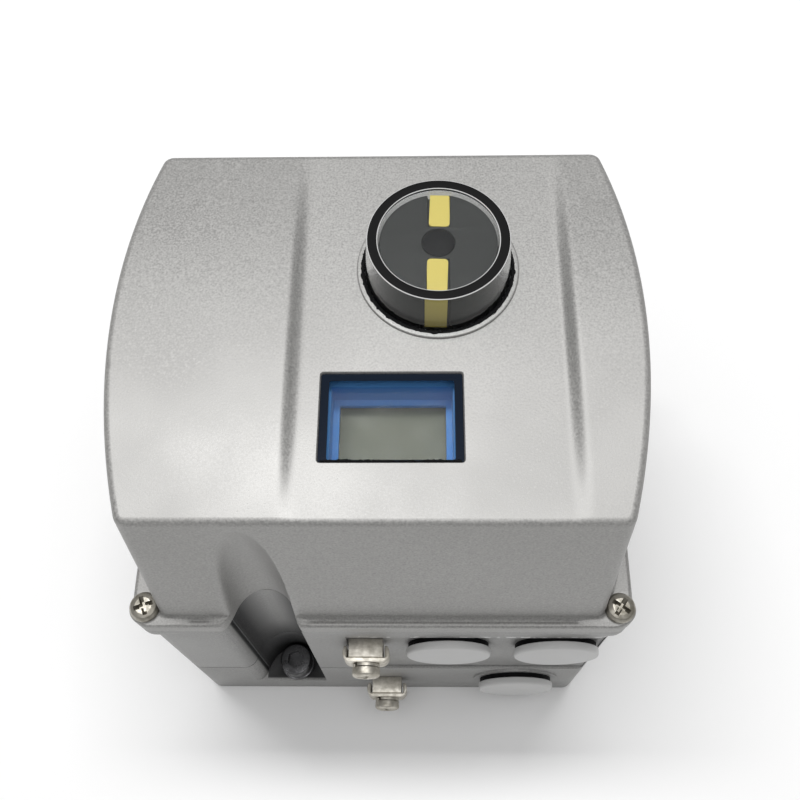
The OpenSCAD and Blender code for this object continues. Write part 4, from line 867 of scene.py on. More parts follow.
def cover_rings():
    """All rings of the cover, from the edge of the top round to the inside."""
    rings = []
    for k in range(ARC_STEPS + 1):
        turn = math.pi / 2 * k / ARC_STEPS
        level = barrel_ring(TOP_HALF_L, TOP_EDGE * (1 - math.sin(turn)))
        rings.append(raised(level, top_height(level) - TOP_EDGE * (1 - math.cos(turn))))
    start = rings.pop()
    foot, lip = with_scallop(barrel_ring(FOOT_HALF_L, 0)), with_scallop(flange_ring(0), flange=True)
    room = np.linalg.norm(lip - foot, axis=1)
    hollow, edge = np.minimum(FOOT_FILLET, ROOM_SHARE * room), np.minimum(LIP_EDGE, ROOM_SHARE * room)
    outward = (lip - foot) / np.maximum(room, 1e-9)[:, None]
    for k in range(WALL_LEVELS + 1):
        t = k / WALL_LEVELS
        plain = barrel_ring(TOP_HALF_L + (FOOT_HALF_L - TOP_HALF_L) * t, 0)
        level = with_scallop(plain, ease(t / SCALLOP_FADE), False, SCALLOP_BOW * 4 * t * (1 - t))
        rings.append(raised(level, start[:, 2] * (1 - t) + (FLANGE_H + hollow) * t))
    dip = flange_dip(lip)
    for k in range(1, ARC_STEPS + 1):
        turn = math.pi / 2 * k / ARC_STEPS
        level = foot + outward * (hollow * (1 - math.cos(turn)))[:, None]
        rings.append(raised(level, FLANGE_H + hollow * (1 - math.sin(turn)) - dip * k / ARC_STEPS))
    for k in range(ARC_STEPS + 1):
        turn = math.pi / 2 * k / ARC_STEPS
        level = lip - outward * (edge * (1 - math.sin(turn)))[:, None]
        settle_back = dip * DIP_AT_LIP * (1 - k / ARC_STEPS)
        rings.append(raised(level, FLANGE_H - edge * (1 - math.cos(turn)) - settle_back))
    rings.append(raised(lip, 0.0))
    for half_l, height in ((FOOT_HALF_L, 0.0), (TOP_HALF_L, COVER_H - COVER_WALL)):
        inner = with_scallop(barrel_ring(half_l, COVER_WALL), 1.0, False, COVER_WALL)
        rings.append(raised(inner, height))
    return rings


def patch(edge):
    """Fills a ring with a grid of points between its four sides, and gives the grid's indices."""
    wide, deep = len(COLUMNS) - 1 + CORNER_STEPS, SIDE_ROWS + CORNER_STEPS
    side, rows = np.arange(wide + 1), np.arange(deep + 1)
    back_at, left_at = (2 * wide + deep - side) % RING, (2 * wide + 2 * deep - rows) % RING
    front, back, left, right = (edge[at, :2] for at in (side, back_at, left_at, wide + rows))
    u, v = (side / wide)[None, :, None], (rows / deep)[:, None, None]
    across = (1 - v) * front[None] + v * back[None] + (1 - u) * left[:, None] + u * right[:, None]
    corners = ((1 - v) * ((1 - u) * front[0] + u * front[-1]) + v * ((1 - u) * back[0] + u * back[-1]))
    inner = (across - corners)[1:-1, 1:-1].reshape(-1, 2)
    index = np.full((deep + 1, wide + 1), -1)
    index[0], index[-1], index[:, -1], index[:, 0] = side, back_at, wide + rows, left_at
    return inner, index


rings = cover_rings()
inner_points, patch_index = patch(rings[0])
print("rings:", len(rings), "patch points:", len(inner_points))

# %% Join the rings into one closed casting
def loft(rings, inner, index):
    """One closed mesh from the rings, the top patch and a flat ceiling inside."""
    count = len(rings) * RING
    verts = np.concatenate([*rings, raised(inner, top_height(inner))])
    grid = index.copy()
    grid[1:-1, 1:-1] = count + np.arange(len(inner)).reshape(grid.shape[0] - 2, -1)
    faces = [(grid[j, i], grid[j, i + 1], grid[j + 1, i + 1], grid[j + 1, i])
             for j in range(grid.shape[0] - 1) for i in range(grid.shape[1] - 1)]
    for k in range(len(rings) - 1):
        low, high = k * RING, (k + 1) * RING
        faces += [(low + i, high + i, high + (i + 1) % RING, low + (i + 1) % RING) for i in range(RING)]
    faces.append(list(range(count - RING, count)))
    return verts, faces


cover = face_outwards(mesh_object("cover_casting", *loft(rings, inner_points, patch_index), COVER_AT))
print(cover.name, len(cover.data.polygons), "faces")

# %% [markdown]
# ## Openings in the cover
# The casting gets a low raised ring and a hole for the indicator, an opening with a small flare for the
# display, and at each corner a round ear with a spot face for its screw. These are exact solids, so they
# are joined and cut with booleans after the loft; the places come from the frame's own solids.

# %% Define the cutting helpers
def carve(obj, tool, operation="DIFFERENCE"):
    """Cuts a tool from an object, or joins it, and removes the tool."""
    step = obj.modifiers.new("carve", "BOOLEAN")
    step.operation = operation
    step.solver = "EXACT"
    step.object = tool
    settle(obj)
    drop(tool)
    return obj


def prism(name, half_w, half_l, corner_r, levels, at_mm, steps=5):
    """A closed box with rounded corners, whose levels are heights with their growth."""
    verts, count = [], 4 * (steps + 1)
    for height, grow in levels:
        for quarter, (sx, sy) in enumerate(((1, 1), (-1, 1), (-1, -1), (1, -1))):
            for k in range(steps + 1):
                turn = math.pi / 2 * (quarter + k / steps)
                reach = corner_r + grow
                verts.append((sx * (half_w - corner_r) + reach * math.cos(turn),
                              sy * (half_l - corner_r) + reach * math.sin(turn), height))
    faces = [list(range(count)), list(range((len(levels) - 1) * count, len(levels) * count))]
    for level in range(len(levels) - 1):
        low = level * count
        faces += [(low + i, low + (i + 1) % count, low + count + (i + 1) % count, low + count + i)
                  for i in range(count)]
    return face_outwards(mesh_object(name, verts, faces, at_mm))


def solids_of(node):
    """The low and high corners of each separate solid in a CAD node, in millimetres."""
    shape = welded(nodes[node].data)
    waiting, boxes = set(shape.verts), []
    while waiting:
        found, edge = set(), [waiting.pop()]
        while edge:
            vert = edge.pop()
            found.add(vert)
            fresh = [e.other_vert(vert) for e in vert.link_edges if e.other_vert(vert) in waiting]
            waiting.difference_update(fresh)
            edge.extend(fresh)
        points = np.array([v.co for v in found]) / MM
        boxes.append((points.min(axis=0), points.max(axis=0)))
    shape.free()
    return sorted(boxes, key=lambda b: (round(b[0][0], 2), round(b[0][1], 2), round(b[0][2], 2)))


print("cover screws found:", len(solids_of("cover_screws")))

# %% Cut the indicator hole and raise its ring
COVER_TOP = COVER_FOOT + COVER_H
RIM_IN, RIM_OUT, RIM_RISE, RIM_SINK, RIM_EDGE, HOLE_R = 17.4, 19.9, 0.7, 1.5, 0.45, 18.8
DEEP, HOLE_STEPS, SCREW_STEPS = 8.0, 144, 48
rim_profile = rounded([(RIM_IN, -RIM_SINK, 0), (RIM_OUT, -RIM_SINK, 0), (RIM_OUT, RIM_RISE),
                       (RIM_IN, RIM_RISE)], RIM_EDGE)
carve(cover, lathe("rim_tool", rim_profile, HOLE_STEPS, (0, 0, COVER_TOP)), "UNION")
carve(cover, cylinder("hole_tool", HOLE_R, -DEEP, DEEP, HOLE_STEPS, (0, 0, COVER_TOP)))
print("indicator hole cut:", len(cover.data.polygons), "faces")

# %% Cut the display opening
FLARE, OPENING_CORNER = 0.3, 0.6
OPENING_HALF_W, OPENING_HALF_L = 16.5, 11.2
display_mid = sum(box_of("display_seal")) / 2
flare_levels = [(-DEEP, 0.0), (-2 * FLARE, 0.0), (-FLARE, 0.25 * FLARE), (0.0, FLARE), (FLARE, 2 * FLARE)]
carve(cover, prism("display_tool", OPENING_HALF_W, OPENING_HALF_L, OPENING_CORNER, flare_levels,
                   (display_mid[0], display_mid[1], COVER_TOP)))
print("display opening cut:", len(cover.data.polygons), "faces")

# %% Add the screw ears and cut their spot faces
EAR_R, EAR_EDGE, SPOT_R, SPOT_H, SCREW_HOLE_R, SCREW_HOLE_STEPS = 4.25, 0.5, 4.1, 8.0, 2.3, 32
FLANGE_TOP = COVER_FOOT + FLANGE_H
ear = rounded([(0, -FLANGE_H, 0), (EAR_R, -FLANGE_H, 0), (EAR_R, 0), (0, 0, 0)], EAR_EDGE)
for low, high in solids_of("cover_screws"):
    seat = (*(low + high)[:2] / 2, FLANGE_TOP)
    carve(cover, lathe("ear_tool", ear, SCREW_STEPS, seat), "UNION")
    carve(cover, cylinder("spot_tool", SPOT_R, 0, SPOT_H, SCREW_STEPS, seat))
    carve(cover, cylinder("screw_hole_tool", SCREW_HOLE_R, -DEEP, 1, SCREW_HOLE_STEPS, seat))
stand_in(cover, "main_cover")

# %% [markdown]
# ## Housings with softened edges
# The two boxes under the cover are castings too, but plainer, so their CAD solids already have the right
# shape. A copy of each gets its edges rounded with a bevel modifier, as paint and the mould leave them;
# a fillet in CAD on every edge would make the exact solids heavy for no gain.

# %% Soften the housings
FLAT_ANGLE = math.radians(1.0)
EDGE_ANGLE = math.radians(35)


def clean_copy(name, node):
    """A copy of a CAD node with flat faces merged, ready for a bevel."""
    shape = welded(nodes[node].data)
    bmesh.ops.dissolve_limit(shape, angle_limit=FLAT_ANGLE, verts=shape.verts, edges=shape.edges)
    mesh = bpy.data.meshes.new(name)
    shape.to_mesh(mesh)
    shape.free()
    if "custom_normal" in mesh.attributes:
        mesh.attributes.remove(mesh.attributes["custom_normal"])
    return link(bpy.data.objects.new(name, mesh))


def softened(name, node, width_mm, steps=2):
    """A copy of a CAD node with its edges rounded, standing in for the node."""
    obj = clean_copy(name, node)
    bevel = obj.modifiers.new("soft_edges", "BEVEL")
    bevel.width = width_mm * MM
    bevel.segments = steps
    bevel.limit_method = "ANGLE"
    bevel.angle_limit = EDGE_ANGLE
    return stand_in(settle(obj), node)


HOUSING_EDGE = 0.25
for part in ("main_housing", "extension_housing"):
    softened(part + "_casting", part, HOUSING_EDGE)

# %% [markdown]
# ## Screws on points
# Many screws repeat. One prototype is turned and given its drive, and a Geometry Nodes tree sets it on
# every point of a host, with a spin of its own for each, then realizes and finishes them. Copies made in
# a loop would do the same, but the tree keeps the repeat in one place with named inputs.

# %% Build the tree that sets a fastener on points
def geometry_tree(name, inputs):
    """An empty geometry tree with named inputs, its input sockets and its output node."""
    tree = bpy.data.node_groups.new(name, "GeometryNodeTree")
    for label, kind in inputs:
        tree.interface.new_socket(label, in_out="INPUT", socket_type="NodeSocket" + kind)
    tree.interface.new_socket("Geometry", in_out="OUTPUT", socket_type="NodeSocketGeometry")
    return tree, tree.nodes.new("NodeGroupInput").outputs, tree.nodes.new("NodeGroupOutput").inputs


def make_fastener_tree():
    tree, given, out = geometry_tree("fasteners_on_points", [
        ("Points", "Geometry"), ("Fastener", "Object"), ("Facing", "Vector"), ("Seed", "Int"),
        ("Finish", "Material")])
    source = add(tree, "GeometryNodeObjectInfo", Object=given["Fastener"], As_Instance=True)
    spread = add(tree, "GeometryNodeInstanceOnPoints", Points=given["Points"],
                 Instance=source.outputs["Geometry"], Rotation=given["Facing"])
    spin = add(tree, "FunctionNodeRandomValue", {"data_type": "FLOAT_VECTOR"}, Min=(0, 0, 0),
               Max=(0, 0, 2 * math.pi), Seed=given["Seed"])
    turned = add(tree, "GeometryNodeRotateInstances", Instances=spread.outputs[0], Rotation=spin.outputs[0])
    solid = add(tree, "GeometryNodeRealizeInstances", Geometry=turned.outputs[0])
    coat = add(tree, "GeometryNodeSetMaterial", Geometry=solid.outputs[0], Material=given["Finish"])
    return give(tree, out, coat.outputs[0])


fastener_tree = make_fastener_tree()
print("geometry tree:", fastener_tree.name)

# %% Define how a tree is used
def grow(obj, tree, **inputs):
    """Runs a geometry tree on an object with named inputs and keeps the result as plain mesh."""
    step = obj.modifiers.new(tree.name, "NODES")
    step.node_group = tree
    sockets = {item.name: item.identifier for item in tree.interface.items_tree if item.in_out == "INPUT"}
    for label, value in inputs.items():
        step[sockets[label.replace("_", " ")]] = value
    return settle(obj)


def set_fasteners(name, node, prototype, places, facing, seed):
    """Sets a prototype on places in millimetres, standing in for a CAD node."""
    host = mesh_object(name, places, [])
    grow(host, fastener_tree, Fastener=prototype, Facing=facing, Seed=seed, Finish=finishes[slot_of[node]])
    drop(prototype)
    return stand_in(host, node)


UPWARDS, FRONTWARDS = (0.0, 0.0, 0.0), (math.pi / 2, 0.0, 0.0)


def fastener_sizes(node, facing, head_h):
    """The radius, the shank's length and the seats of a node's like solids, from the height of a head."""
    boxes = solids_of(node)
    size = boxes[0][1] - boxes[0][0]
    axis = 2 if facing == UPWARDS else 1
    seats = [(low + high) / 2 for low, high in boxes]
    for seat, (low, high) in zip(seats, boxes):
        seat[axis] = high[axis] - head_h if facing == UPWARDS else low[axis] + head_h
    return size[0] / 2, size[axis] - head_h, seats


print("fasteners ready")

# %% [markdown]
# ## Gaskets behind the channel mouths
# The CAD leads both gaskets so close to the rounded channel mouths that a corner of each, and of its
# groove, shows as a speck. The corners are drawn in behind the rounding, and small discs of the housing's
# own paint close the ends of the grooves. The discs are one prototype set on four points by the tree.

# %% Draw in the gaskets and close the grooves
MOUTH_AT, MOUTH_R, MOUTH_KEEP, MOUTH_FILL = (-58.9, -73.6), 4.0, 3.8, 3.97
GASKET_H, FILL_SHORT, FILL_STEPS = 2.0, 0.05, 96
mouths = [(1, *MOUTH_AT), (-1, 2 * CASE_X - MOUTH_AT[0], 2 * CASE_Y - MOUTH_AT[1])]


def drawn_in(name, node):
    """A copy of a gasket whose corners stay behind the rounded mouths of the channels."""
    obj = clean_copy(name, node)
    for vert in obj.data.vertices:
        for sign, x, y in mouths:
            off = Vector((vert.co.x / MM - x, vert.co.y / MM - y))
            if off.x * sign > 0 > off.y * sign and MOUTH_KEEP < off.length < 2 * MOUTH_R:
                off *= MOUTH_KEEP / off.length
                vert.co.x, vert.co.y = (x + off.x) * MM, (y + off.y) * MM
    return stand_in(settle(obj), node)


gasket_foots = []
for node in ("extension_gasket", "cover_gasket"):
    drawn_in(node + "_ring", node)
    gasket_foots += [(x, y, box_of(node)[0][2]) for sign, x, y in mouths]
fill_disc = cylinder("fill_disc", MOUTH_FILL, 0, GASKET_H - FILL_SHORT, FILL_STEPS)
fills = mesh_object("channel_mouth_fills", gasket_foots, [])
grow(fills, fastener_tree, Fastener=fill_disc, Facing=UPWARDS, Seed=1, Finish=finishes["housing_paint"])
drop(fill_disc)
extra(fills, "housing_paint", "main_housing")

# %% [markdown]
# ## Pan head screws
# Four nickel plated pan heads hold the cover. The head is a turned dome over a short rim, and the cross
# recess is a tapered cross cut into it. The shank goes into the flange and stays plain.

# %% Turn the pan head and cut its cross
RECESS_TAPER, RECESS_TOP = 0.45, 1.02


def cross_tool(name, reach, width, depth, top):
    """A tapered cross that cuts a driver recess down from a height."""
    outline = []
    for quarter in range(4):
        turn = quarter * math.pi / 2
        for along, aside in ((width, -width), (reach, -width), (reach, width)):
            outline.append((along * math.cos(turn) - aside * math.sin(turn),
                            along * math.sin(turn) + aside * math.cos(turn)))
    count = len(outline)
    high = [(x, y, top) for x, y in outline]
    low = [(RECESS_TAPER * x, RECESS_TAPER * y, top - depth) for x, y in outline]
    faces = [list(range(count)), list(range(count, 2 * count))]
    faces += [(i, (i + 1) % count, count + (i + 1) % count, count + i) for i in range(count)]
    return face_outwards(mesh_object(name, high + low, faces))


def cross_head(name, head, shank, corner_r, recess, radius, height):
    """A turned screw on its seat with a cross recess. Head and recess are in shares of the head's size."""
    outline = [(r * radius, z * height, *own_r) for r, z, *own_r in head] + shank
    reach, width, depth = recess
    tool = cross_tool("cross_tool", reach * radius, width * radius, depth * height, RECESS_TOP * height)
    return carve(lathe(name, rounded(outline, corner_r), SCREW_STEPS), tool)


HEAD_H, SHANK_R = 2.6, 1.9
PAN_DOME = ((0, 1), (0.55, 0.96), (0.85, 0.80), (0.98, 0.48), (1, 0.12), (0.97, 0))
PAN_CORNER, PAN_RECESS = 0.5, (0.72, 0.16, 0.62)
head_r, shank_l, seats = fastener_sizes("cover_screws", UPWARDS, HEAD_H)
pan_shank = [(SHANK_R, 0), (SHANK_R, -shank_l), (0, -shank_l)]
pan_head = cross_head("pan_head", PAN_DOME, pan_shank, PAN_CORNER, PAN_RECESS, head_r, HEAD_H)
pan_heads = set_fasteners("cover_pan_heads", "cover_screws", pan_head, seats, UPWARDS, seed=5)
# The pan heads take the darker copy of the nickel plate.
finish(pan_heads, "darker_nickel")

# %% [markdown]
# ## Earth terminals
# Each earth terminal is a square nickel block with a U shaped saddle in front of it, a spring washer and
# a screw. The block and the saddle are softened CAD solids. The spring washer is a split coil: a Geometry
# Nodes tree sweeps a small square along a one turn spiral.

# %% Soften the blocks and saddles and set the screws
BLOCK_EDGE, SADDLE_EDGE = 0.3, 0.25
softened("earth_block_castings", "earth_blocks", BLOCK_EDGE)
softened("earth_saddle_plates", "earth_saddles", SADDLE_EDGE)
CHEESE_HEAD = ((0, 1, 0), (0.8, 0.97, 0.8), (1, 0.8, 0.7), (1, 0, 0.2))
CHEESE_CORNER, CHEESE_RECESS = 0.3, (0.6, 0.13, 0.7)
earth_head_r, earth_shank_l, earth_seats = fastener_sizes("earth_screws", FRONTWARDS, HEAD_H)
earth_shank = [(SHANK_R, 0, 0), (SHANK_R, -earth_shank_l), (0, -earth_shank_l, 0)]
cheese_head = cross_head("cheese_head", CHEESE_HEAD, earth_shank, CHEESE_CORNER, CHEESE_RECESS,
                         earth_head_r, HEAD_H)
set_fasteners("earth_cheese_heads", "earth_screws", cheese_head, earth_seats, FRONTWARDS, seed=3)

# %% Sweep the spring washers
COIL_STEPS = 64
WASHER_HOLE_R, COIL_T, COIL_TURNS = 2.1, 0.8, 0.965


def make_spring_tree():
    labels = ("Radius", "Width", "Thickness", "Turns", "Rise")
    tree, given, out = geometry_tree("spring_washer", [
        ("Points", "Geometry"), *((label, "Float") for label in labels)])
    coil = add(tree, "GeometryNodeCurveSpiral", Resolution=COIL_STEPS, Rotations=given["Turns"],
               Start_Radius=given["Radius"], End_Radius=given["Radius"], Height=given["Rise"])
    section = add(tree, "GeometryNodeCurvePrimitiveQuadrilateral", Width=given["Width"],
                  Height=given["Thickness"])
    swept = add(tree, "GeometryNodeCurveToMesh", Curve=coil.outputs[0], Profile_Curve=section.outputs[0],
                Fill_Caps=True)
    return give(tree, out, swept.outputs[0])


washer_r, washer_t, washer_fronts = fastener_sizes("earth_washers", FRONTWARDS, 0.0)
washer = grow(mesh_object("spring_coil", [(0, 0, 0)], []), make_spring_tree(),
              Radius=(washer_r + WASHER_HOLE_R) / 2 * MM, Width=(washer_r - WASHER_HOLE_R) * MM,
              Thickness=COIL_T * MM, Turns=COIL_TURNS, Rise=(washer_t - COIL_T) * MM)
face_outwards(washer)
for vert in washer.data.vertices:
    vert.co.z += COIL_T / 2 * MM
washer_seats = [front + (0, washer_t, 0) for front in washer_fronts]
set_fasteners("earth_spring_washers", "earth_washers", washer, washer_seats, FRONTWARDS, seed=11)

# %% [markdown]
# ## Blanking plugs
# Three round plugs close the cable entries. They are moulded with a slightly domed face and a large edge
# radius, so a turned profile makes one and the fastener tree sets all three.

# %% Turn the plugs
PLUG_HEAD_H, PLUG_FACE_H, PLUG_DOME, PLUG_EDGE, PLUG_SHANK_R = 1.9, 2.5, 0.35, 1.1, 9.6
PLUG_BOW_R, PLUG_SEAT_R, PLUG_END_R, PLUG_STEPS, PLUG_ARC = 4.0, 0.3, 0.5, 96, 6
plug_r, plug_shank, plug_seats = fastener_sizes("conduit_plugs", FRONTWARDS, PLUG_HEAD_H)
plug_outline = [(0, PLUG_FACE_H), (0.5 * plug_r, PLUG_FACE_H - 0.25 * PLUG_DOME, PLUG_BOW_R),
                (plug_r, PLUG_FACE_H - PLUG_DOME, PLUG_EDGE), (plug_r, 0, PLUG_SEAT_R), (PLUG_SHANK_R, 0),
                (PLUG_SHANK_R, -plug_shank, PLUG_END_R), (0, -plug_shank)]
plug_shape = lathe("plug", rounded(plug_outline, 0, PLUG_ARC), PLUG_STEPS)
set_fasteners("blanking_plugs", "conduit_plugs", plug_shape, plug_seats, FRONTWARDS, seed=2)

# %% [markdown]
# ## Mounting screws
# A dark hexagon socket screw stands in each access channel on a washer. The head is a turned cylinder
# with a small chamfer, and a six sided prism cuts its socket.

# %% Turn the socket screws and cut their hexagon
SOCKET_HEAD_H, SOCKET_R, SOCKET_DEPTH, MOUNT_SHANK_R = 6.0, 2.9, 3.2, 2.9
SOCKET_EDGE, SOCKET_SEAT_R, MOUNT_END_R, SOCKET_STEPS, WASHER_EDGE = 0.6, 0.3, 0.4, 64, 0.2
mount_r, mount_shank, mount_seats = fastener_sizes("mounting_screws", UPWARDS, SOCKET_HEAD_H)
socket_outline = [(0, SOCKET_HEAD_H), (mount_r, SOCKET_HEAD_H, SOCKET_EDGE), (mount_r, 0, SOCKET_SEAT_R),
                  (MOUNT_SHANK_R, 0), (MOUNT_SHANK_R, -mount_shank, MOUNT_END_R), (0, -mount_shank)]
socket_screw = lathe("socket_screw", rounded(socket_outline, 0), SOCKET_STEPS)
carve(socket_screw, cylinder("hexagon_tool", SOCKET_R, SOCKET_HEAD_H - SOCKET_DEPTH, SOCKET_HEAD_H + 1, 6))
set_fasteners("mounting_socket_screws", "mounting_screws", socket_screw, mount_seats, UPWARDS, seed=8)
softened("mounting_flat_washers", "mounting_washers", WASHER_EDGE)

# %% [markdown]
# ## Clear cup of the indicator
# The indicator sits under a moulded clear cup, and a bead of black sealant closes its foot. Seen from
# above, the cup's edge looks like a dark ring between two bright lines: a thin ring carries the painted
# dark reflection of the sealant, and two thin light grey lines are painted highlights of its rims. The cup,
# the ring and the lines are turned; the bead is a ring whose section swells and shrinks with noise, because
# it is laid by hand.

# %% Turn the cup, its painted dark reflection and its painted highlights
CUP_TOP = box_of("indicator_window")[1][2]
CUP_TOP_R, CUP_FOOT_R, CUP_SIDE, CUP_ROOF, CUP_SINK = 16.95, 18.0, 2.38, 1.5, 1.6
CUP_EDGE_R, CUP_FOOT_EDGE, CUP_INNER_R, CUP_STEPS, CUP_ARC = 0.3, 0.2, 0.4, 128, 6
EDGE_IN, EDGE_OUT, EDGE_T, EDGE_PROUD, EDGE_CORNER = 14.57, 16.75, 0.14, 0.1, 0.03
BRIGHT_W, BRIGHT_T, BRIGHT_SINK, BRIGHT_FALL, BRIGHT_CORNER = 0.2, 0.16, 0.03, 0.1, 0.02
cup_foot, cup_face, cup_roof = COVER_TOP - CUP_SINK, CUP_TOP - EDGE_PROUD, CUP_TOP - CUP_ROOF
cup_outline = [(0, cup_face), (CUP_TOP_R, cup_face, CUP_EDGE_R), (CUP_FOOT_R, cup_foot, CUP_FOOT_EDGE),
               (CUP_FOOT_R - CUP_SIDE, cup_foot, CUP_FOOT_EDGE),
               (CUP_TOP_R - CUP_SIDE, cup_roof, CUP_INNER_R), (0, cup_roof)]
stand_in(settle(lathe("clear_cup", rounded(cup_outline, 0, CUP_ARC), CUP_STEPS)), "indicator_window")
# Painted dark reflection: a thin ring at the cup's edge shows the sealant as the eye sees it down the wall;
# light passes it.
edge_foot = CUP_TOP - EDGE_T
edge_outline = [(EDGE_IN, edge_foot), (EDGE_OUT, edge_foot), (EDGE_OUT, CUP_TOP), (EDGE_IN, CUP_TOP)]
painted_reflection_edge = settle(lathe("cup_dark_edge", rounded(edge_outline, EDGE_CORNER), CUP_STEPS))
finish(extra(painted_reflection_edge, "seal_rubber", "indicator_window"), "painted_reflection_edge")
# Painted highlights: two thin light grey lines at the edges of the dark ring stand for the light the cup's
# rims mirror.
bright_top = CUP_TOP - BRIGHT_SINK
bright_foot = bright_top - BRIGHT_T
for name, near, way in (("cup_inner_line", EDGE_IN, -1), ("cup_outer_line", EDGE_OUT, 1)):
    far = near + way * BRIGHT_W
    outline = [(far, bright_foot), (near, bright_foot), (near, bright_top), (far, bright_top - BRIGHT_FALL)]
    painted_highlight_line = settle(lathe(name, rounded(outline, BRIGHT_CORNER), CUP_STEPS))
    extra(painted_highlight_line, "plug_grey", "indicator_window")

# %% Lay the sealant bead round the cup
BEAD_R, BEAD_SECTION, BEAD_STEPS, BEAD_SIDES, BEAD_RAGGED = 18.4, 0.52, 360, 12, 0.3
BEAD_LEAST, BEAD_FLAT, BEAD_RISE, BEAD_FINE = 0.1, 0.8, 0.45, 0.5
SWELL_RATE, FINE_RATE, DRIFT_RATE, DRIFT_FROM = 0.9, 3.1, 1.7, Vector((9, 4, 2))


def ragged_bead(name, path, closed, section_r, ragged, sides):
    """A bead along a path of places and outward ways, whose section changes as if squeezed by hand."""
    verts = []
    for place, outward in path:
        fine = BEAD_FINE * ragged * ripple.noise(place * FINE_RATE)
        swell = max(section_r + ragged * ripple.noise(place * SWELL_RATE) + fine, BEAD_LEAST)
        drift = BEAD_FINE * ragged * ripple.noise(place * DRIFT_RATE + DRIFT_FROM)
        for i in range(sides):
            around = 2 * math.pi * i / sides
            lift = Vector((0, 0, BEAD_FLAT * swell * math.sin(around)))
            verts.append(tuple(place + outward * (drift + swell * math.cos(around)) + lift))
    count = len(path)
    spans = [(k, (k + 1) % count) for k in range(count if closed else count - 1)]
    faces = [(a * sides + i, b * sides + i, b * sides + (i + 1) % sides, a * sides + (i + 1) % sides)
             for a, b in spans for i in range(sides)]
    if not closed:
        faces += [list(range(sides)), list(range((count - 1) * sides, count * sides))]
    return settle(face_outwards(mesh_object(name, verts, faces)))


turns = [2 * math.pi * k / BEAD_STEPS for k in range(BEAD_STEPS)]
ways = [Vector((math.cos(turn), math.sin(turn), 0)) for turn in turns]
around_cup = [(way * BEAD_R + Vector((0, 0, COVER_TOP + BEAD_RISE)), way) for way in ways]
bead = ragged_bead("sealant_bead", around_cup, True, BEAD_SECTION, BEAD_RAGGED, BEAD_SIDES)
stand_in(bead, "window_seal")

# %% [markdown]
# ## Drum and stripes
# Under the cup a dark drum turns with the shaft and carries a yellow stripe over its top and down its
# sides, so that the angle can be read from above and from the side. The stripe is a thin moulded strip
# whose inner corners are rounded, made by stations along its path.

# %% Round the drum and lay the stripes
DRUM_EDGE, DRUM_EDGE_STEPS, CAP_EDGE = 0.5, 3, 0.25
softened("indicator_drum_cup", "indicator_drum", DRUM_EDGE, DRUM_EDGE_STEPS)
softened("indicator_cap", "indicator_screw", CAP_EDGE)
stripe_low, stripe_high = box_of("indicator_stripes")
STRIPE_HALF_W = (stripe_high - stripe_low)[0] / 2
STRIPE_START, STRIPE_CORNER, STRIPE_BEND, STRIPE_BED, STRIPE_STEPS = 4.6, 0.9, 0.6, 0.6, 5
STRIPE_CORNER_STEPS = (0, 0.06, 0.2, 0.4, 0.65, 1.0)
STRIPE_TURN = math.radians(-2.4)


def stripe_path():
    """Stations of a stripe: its length so far, its place from the axis, its height and its outward way."""
    reach, top, foot = stripe_high[1], stripe_high[2], stripe_low[2]
    stations = [(STRIPE_START + t * STRIPE_CORNER, top, 0.0) for t in STRIPE_CORNER_STEPS]
    for k in range(STRIPE_STEPS + 1):
        turn = math.pi / 2 * k / STRIPE_STEPS
        fall = STRIPE_BEND * (1 - math.cos(turn))
        stations.append((reach - STRIPE_BEND * (1 - math.sin(turn)), top - fall, turn))
    return stations + [(reach, foot, math.pi / 2)]


def stripe_half(place):
    """Half the stripe's width, narrowed by the round corners at its inner end."""
    short = max(STRIPE_CORNER - (place - STRIPE_START), 0)
    return STRIPE_HALF_W - STRIPE_CORNER + math.sqrt(max(STRIPE_CORNER ** 2 - short ** 2, 0.0))


def stripes(name):
    """Two thin strips over the top of the drum and down its sides."""
    verts, faces = [], []
    for sign in (1, -1):
        base = len(verts)
        stations = stripe_path()
        for place, height, turn in stations:
            half = stripe_half(place)
            for depth in (0.0, STRIPE_BED):
                at, up = place - depth * math.sin(turn), height - depth * math.cos(turn)
                verts += [(-half * sign, at * sign, up), (half * sign, at * sign, up)]
        for k in range(len(stations) - 1):
            low, high = base + 4 * k, base + 4 * k + 4
            faces += [(low + a, low + b, high + b, high + a) for a, b in ((0, 1), (1, 3), (3, 2), (2, 0))]
        last = base + 4 * (len(stations) - 1)
        faces += [(base, base + 1, base + 3, base + 2), (last, last + 1, last + 3, last + 2)]
    swung = [tuple(Matrix.Rotation(STRIPE_TURN, 3, "Z") @ Vector(v)) for v in verts]
    return settle(face_outwards(mesh_object(name, swung, faces)))


stand_in(stripes("indicator_stripe_pair"), "indicator_stripes")

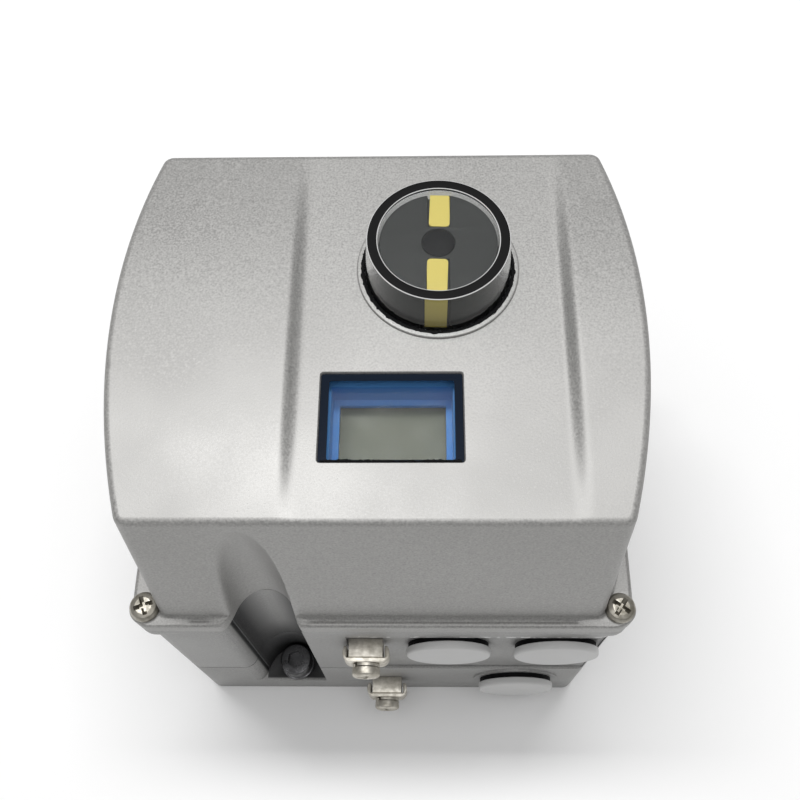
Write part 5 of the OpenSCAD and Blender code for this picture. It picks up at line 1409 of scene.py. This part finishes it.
# %% [markdown]
# ## Display
# Behind its pane the display has a dark frame, a blue bezel that slopes down and a grey green panel. The
# frame could be a flat plate, but the photograph shows it close under the paint, so it also lines the
# opening. A thin line of sealant is left along the front edge, laid like the bead round the cup.

# %% Line the display's opening
FRAME_GAP, FRAME_SINK, FRAME_CORNER, BEZEL_EDGE = 0.08, 0.7, 0.5, 0.2
VIEW_HALF_W, VIEW_FRONT, VIEW_BACK, VIEW_CORNER = 14.3, 10.2, 9.2, 0.3
VIEW_UNDERCUT, VIEW_PAST = 1.5, 0.5
frame_foot, frame_top = box_of("display_seal")[0][2], COVER_TOP - FRAME_SINK
frame_half = (OPENING_HALF_W - FRAME_GAP, OPENING_HALF_L - FRAME_GAP)
frame_at = (display_mid[0], display_mid[1], 0)
view_half_l = (VIEW_FRONT + VIEW_BACK) / 2
view_at = (display_mid[0], display_mid[1] + (VIEW_BACK - VIEW_FRONT) / 2, 0)
frame_levels = [(frame_foot, 0), (frame_top, 0)]
view_levels = [(frame_foot - VIEW_PAST, VIEW_UNDERCUT), (frame_top + VIEW_PAST, 0)]
dark_frame = prism("display_dark_frame", *frame_half, FRAME_CORNER, frame_levels, frame_at)
carve(dark_frame, prism("frame_view", VIEW_HALF_W, view_half_l, VIEW_CORNER, view_levels, view_at))
stand_in(settle(dark_frame), "display_seal")
softened("display_blue_bezel", "display_bezel", BEZEL_EDGE)

# %% Leave a line of sealant at the display
LINE_HALF, LINE_STEPS, LINE_SECTION, LINE_RAGGED = 15.9, 160, 0.3, 0.3
LINE_SINK, LINE_IN = 0.3, 0.3
line_y = display_mid[1] - OPENING_HALF_L + LINE_IN
line_x = np.linspace(display_mid[0] - LINE_HALF, display_mid[0] + LINE_HALF, LINE_STEPS)
along_edge = [(Vector((x, line_y, COVER_TOP - LINE_SINK)), Vector((0, 1, 0))) for x in line_x]
edge_line = ragged_bead("display_sealant", along_edge, False, LINE_SECTION, LINE_RAGGED, BEAD_SIDES)
extra(edge_line, "seal_rubber", "display_seal")
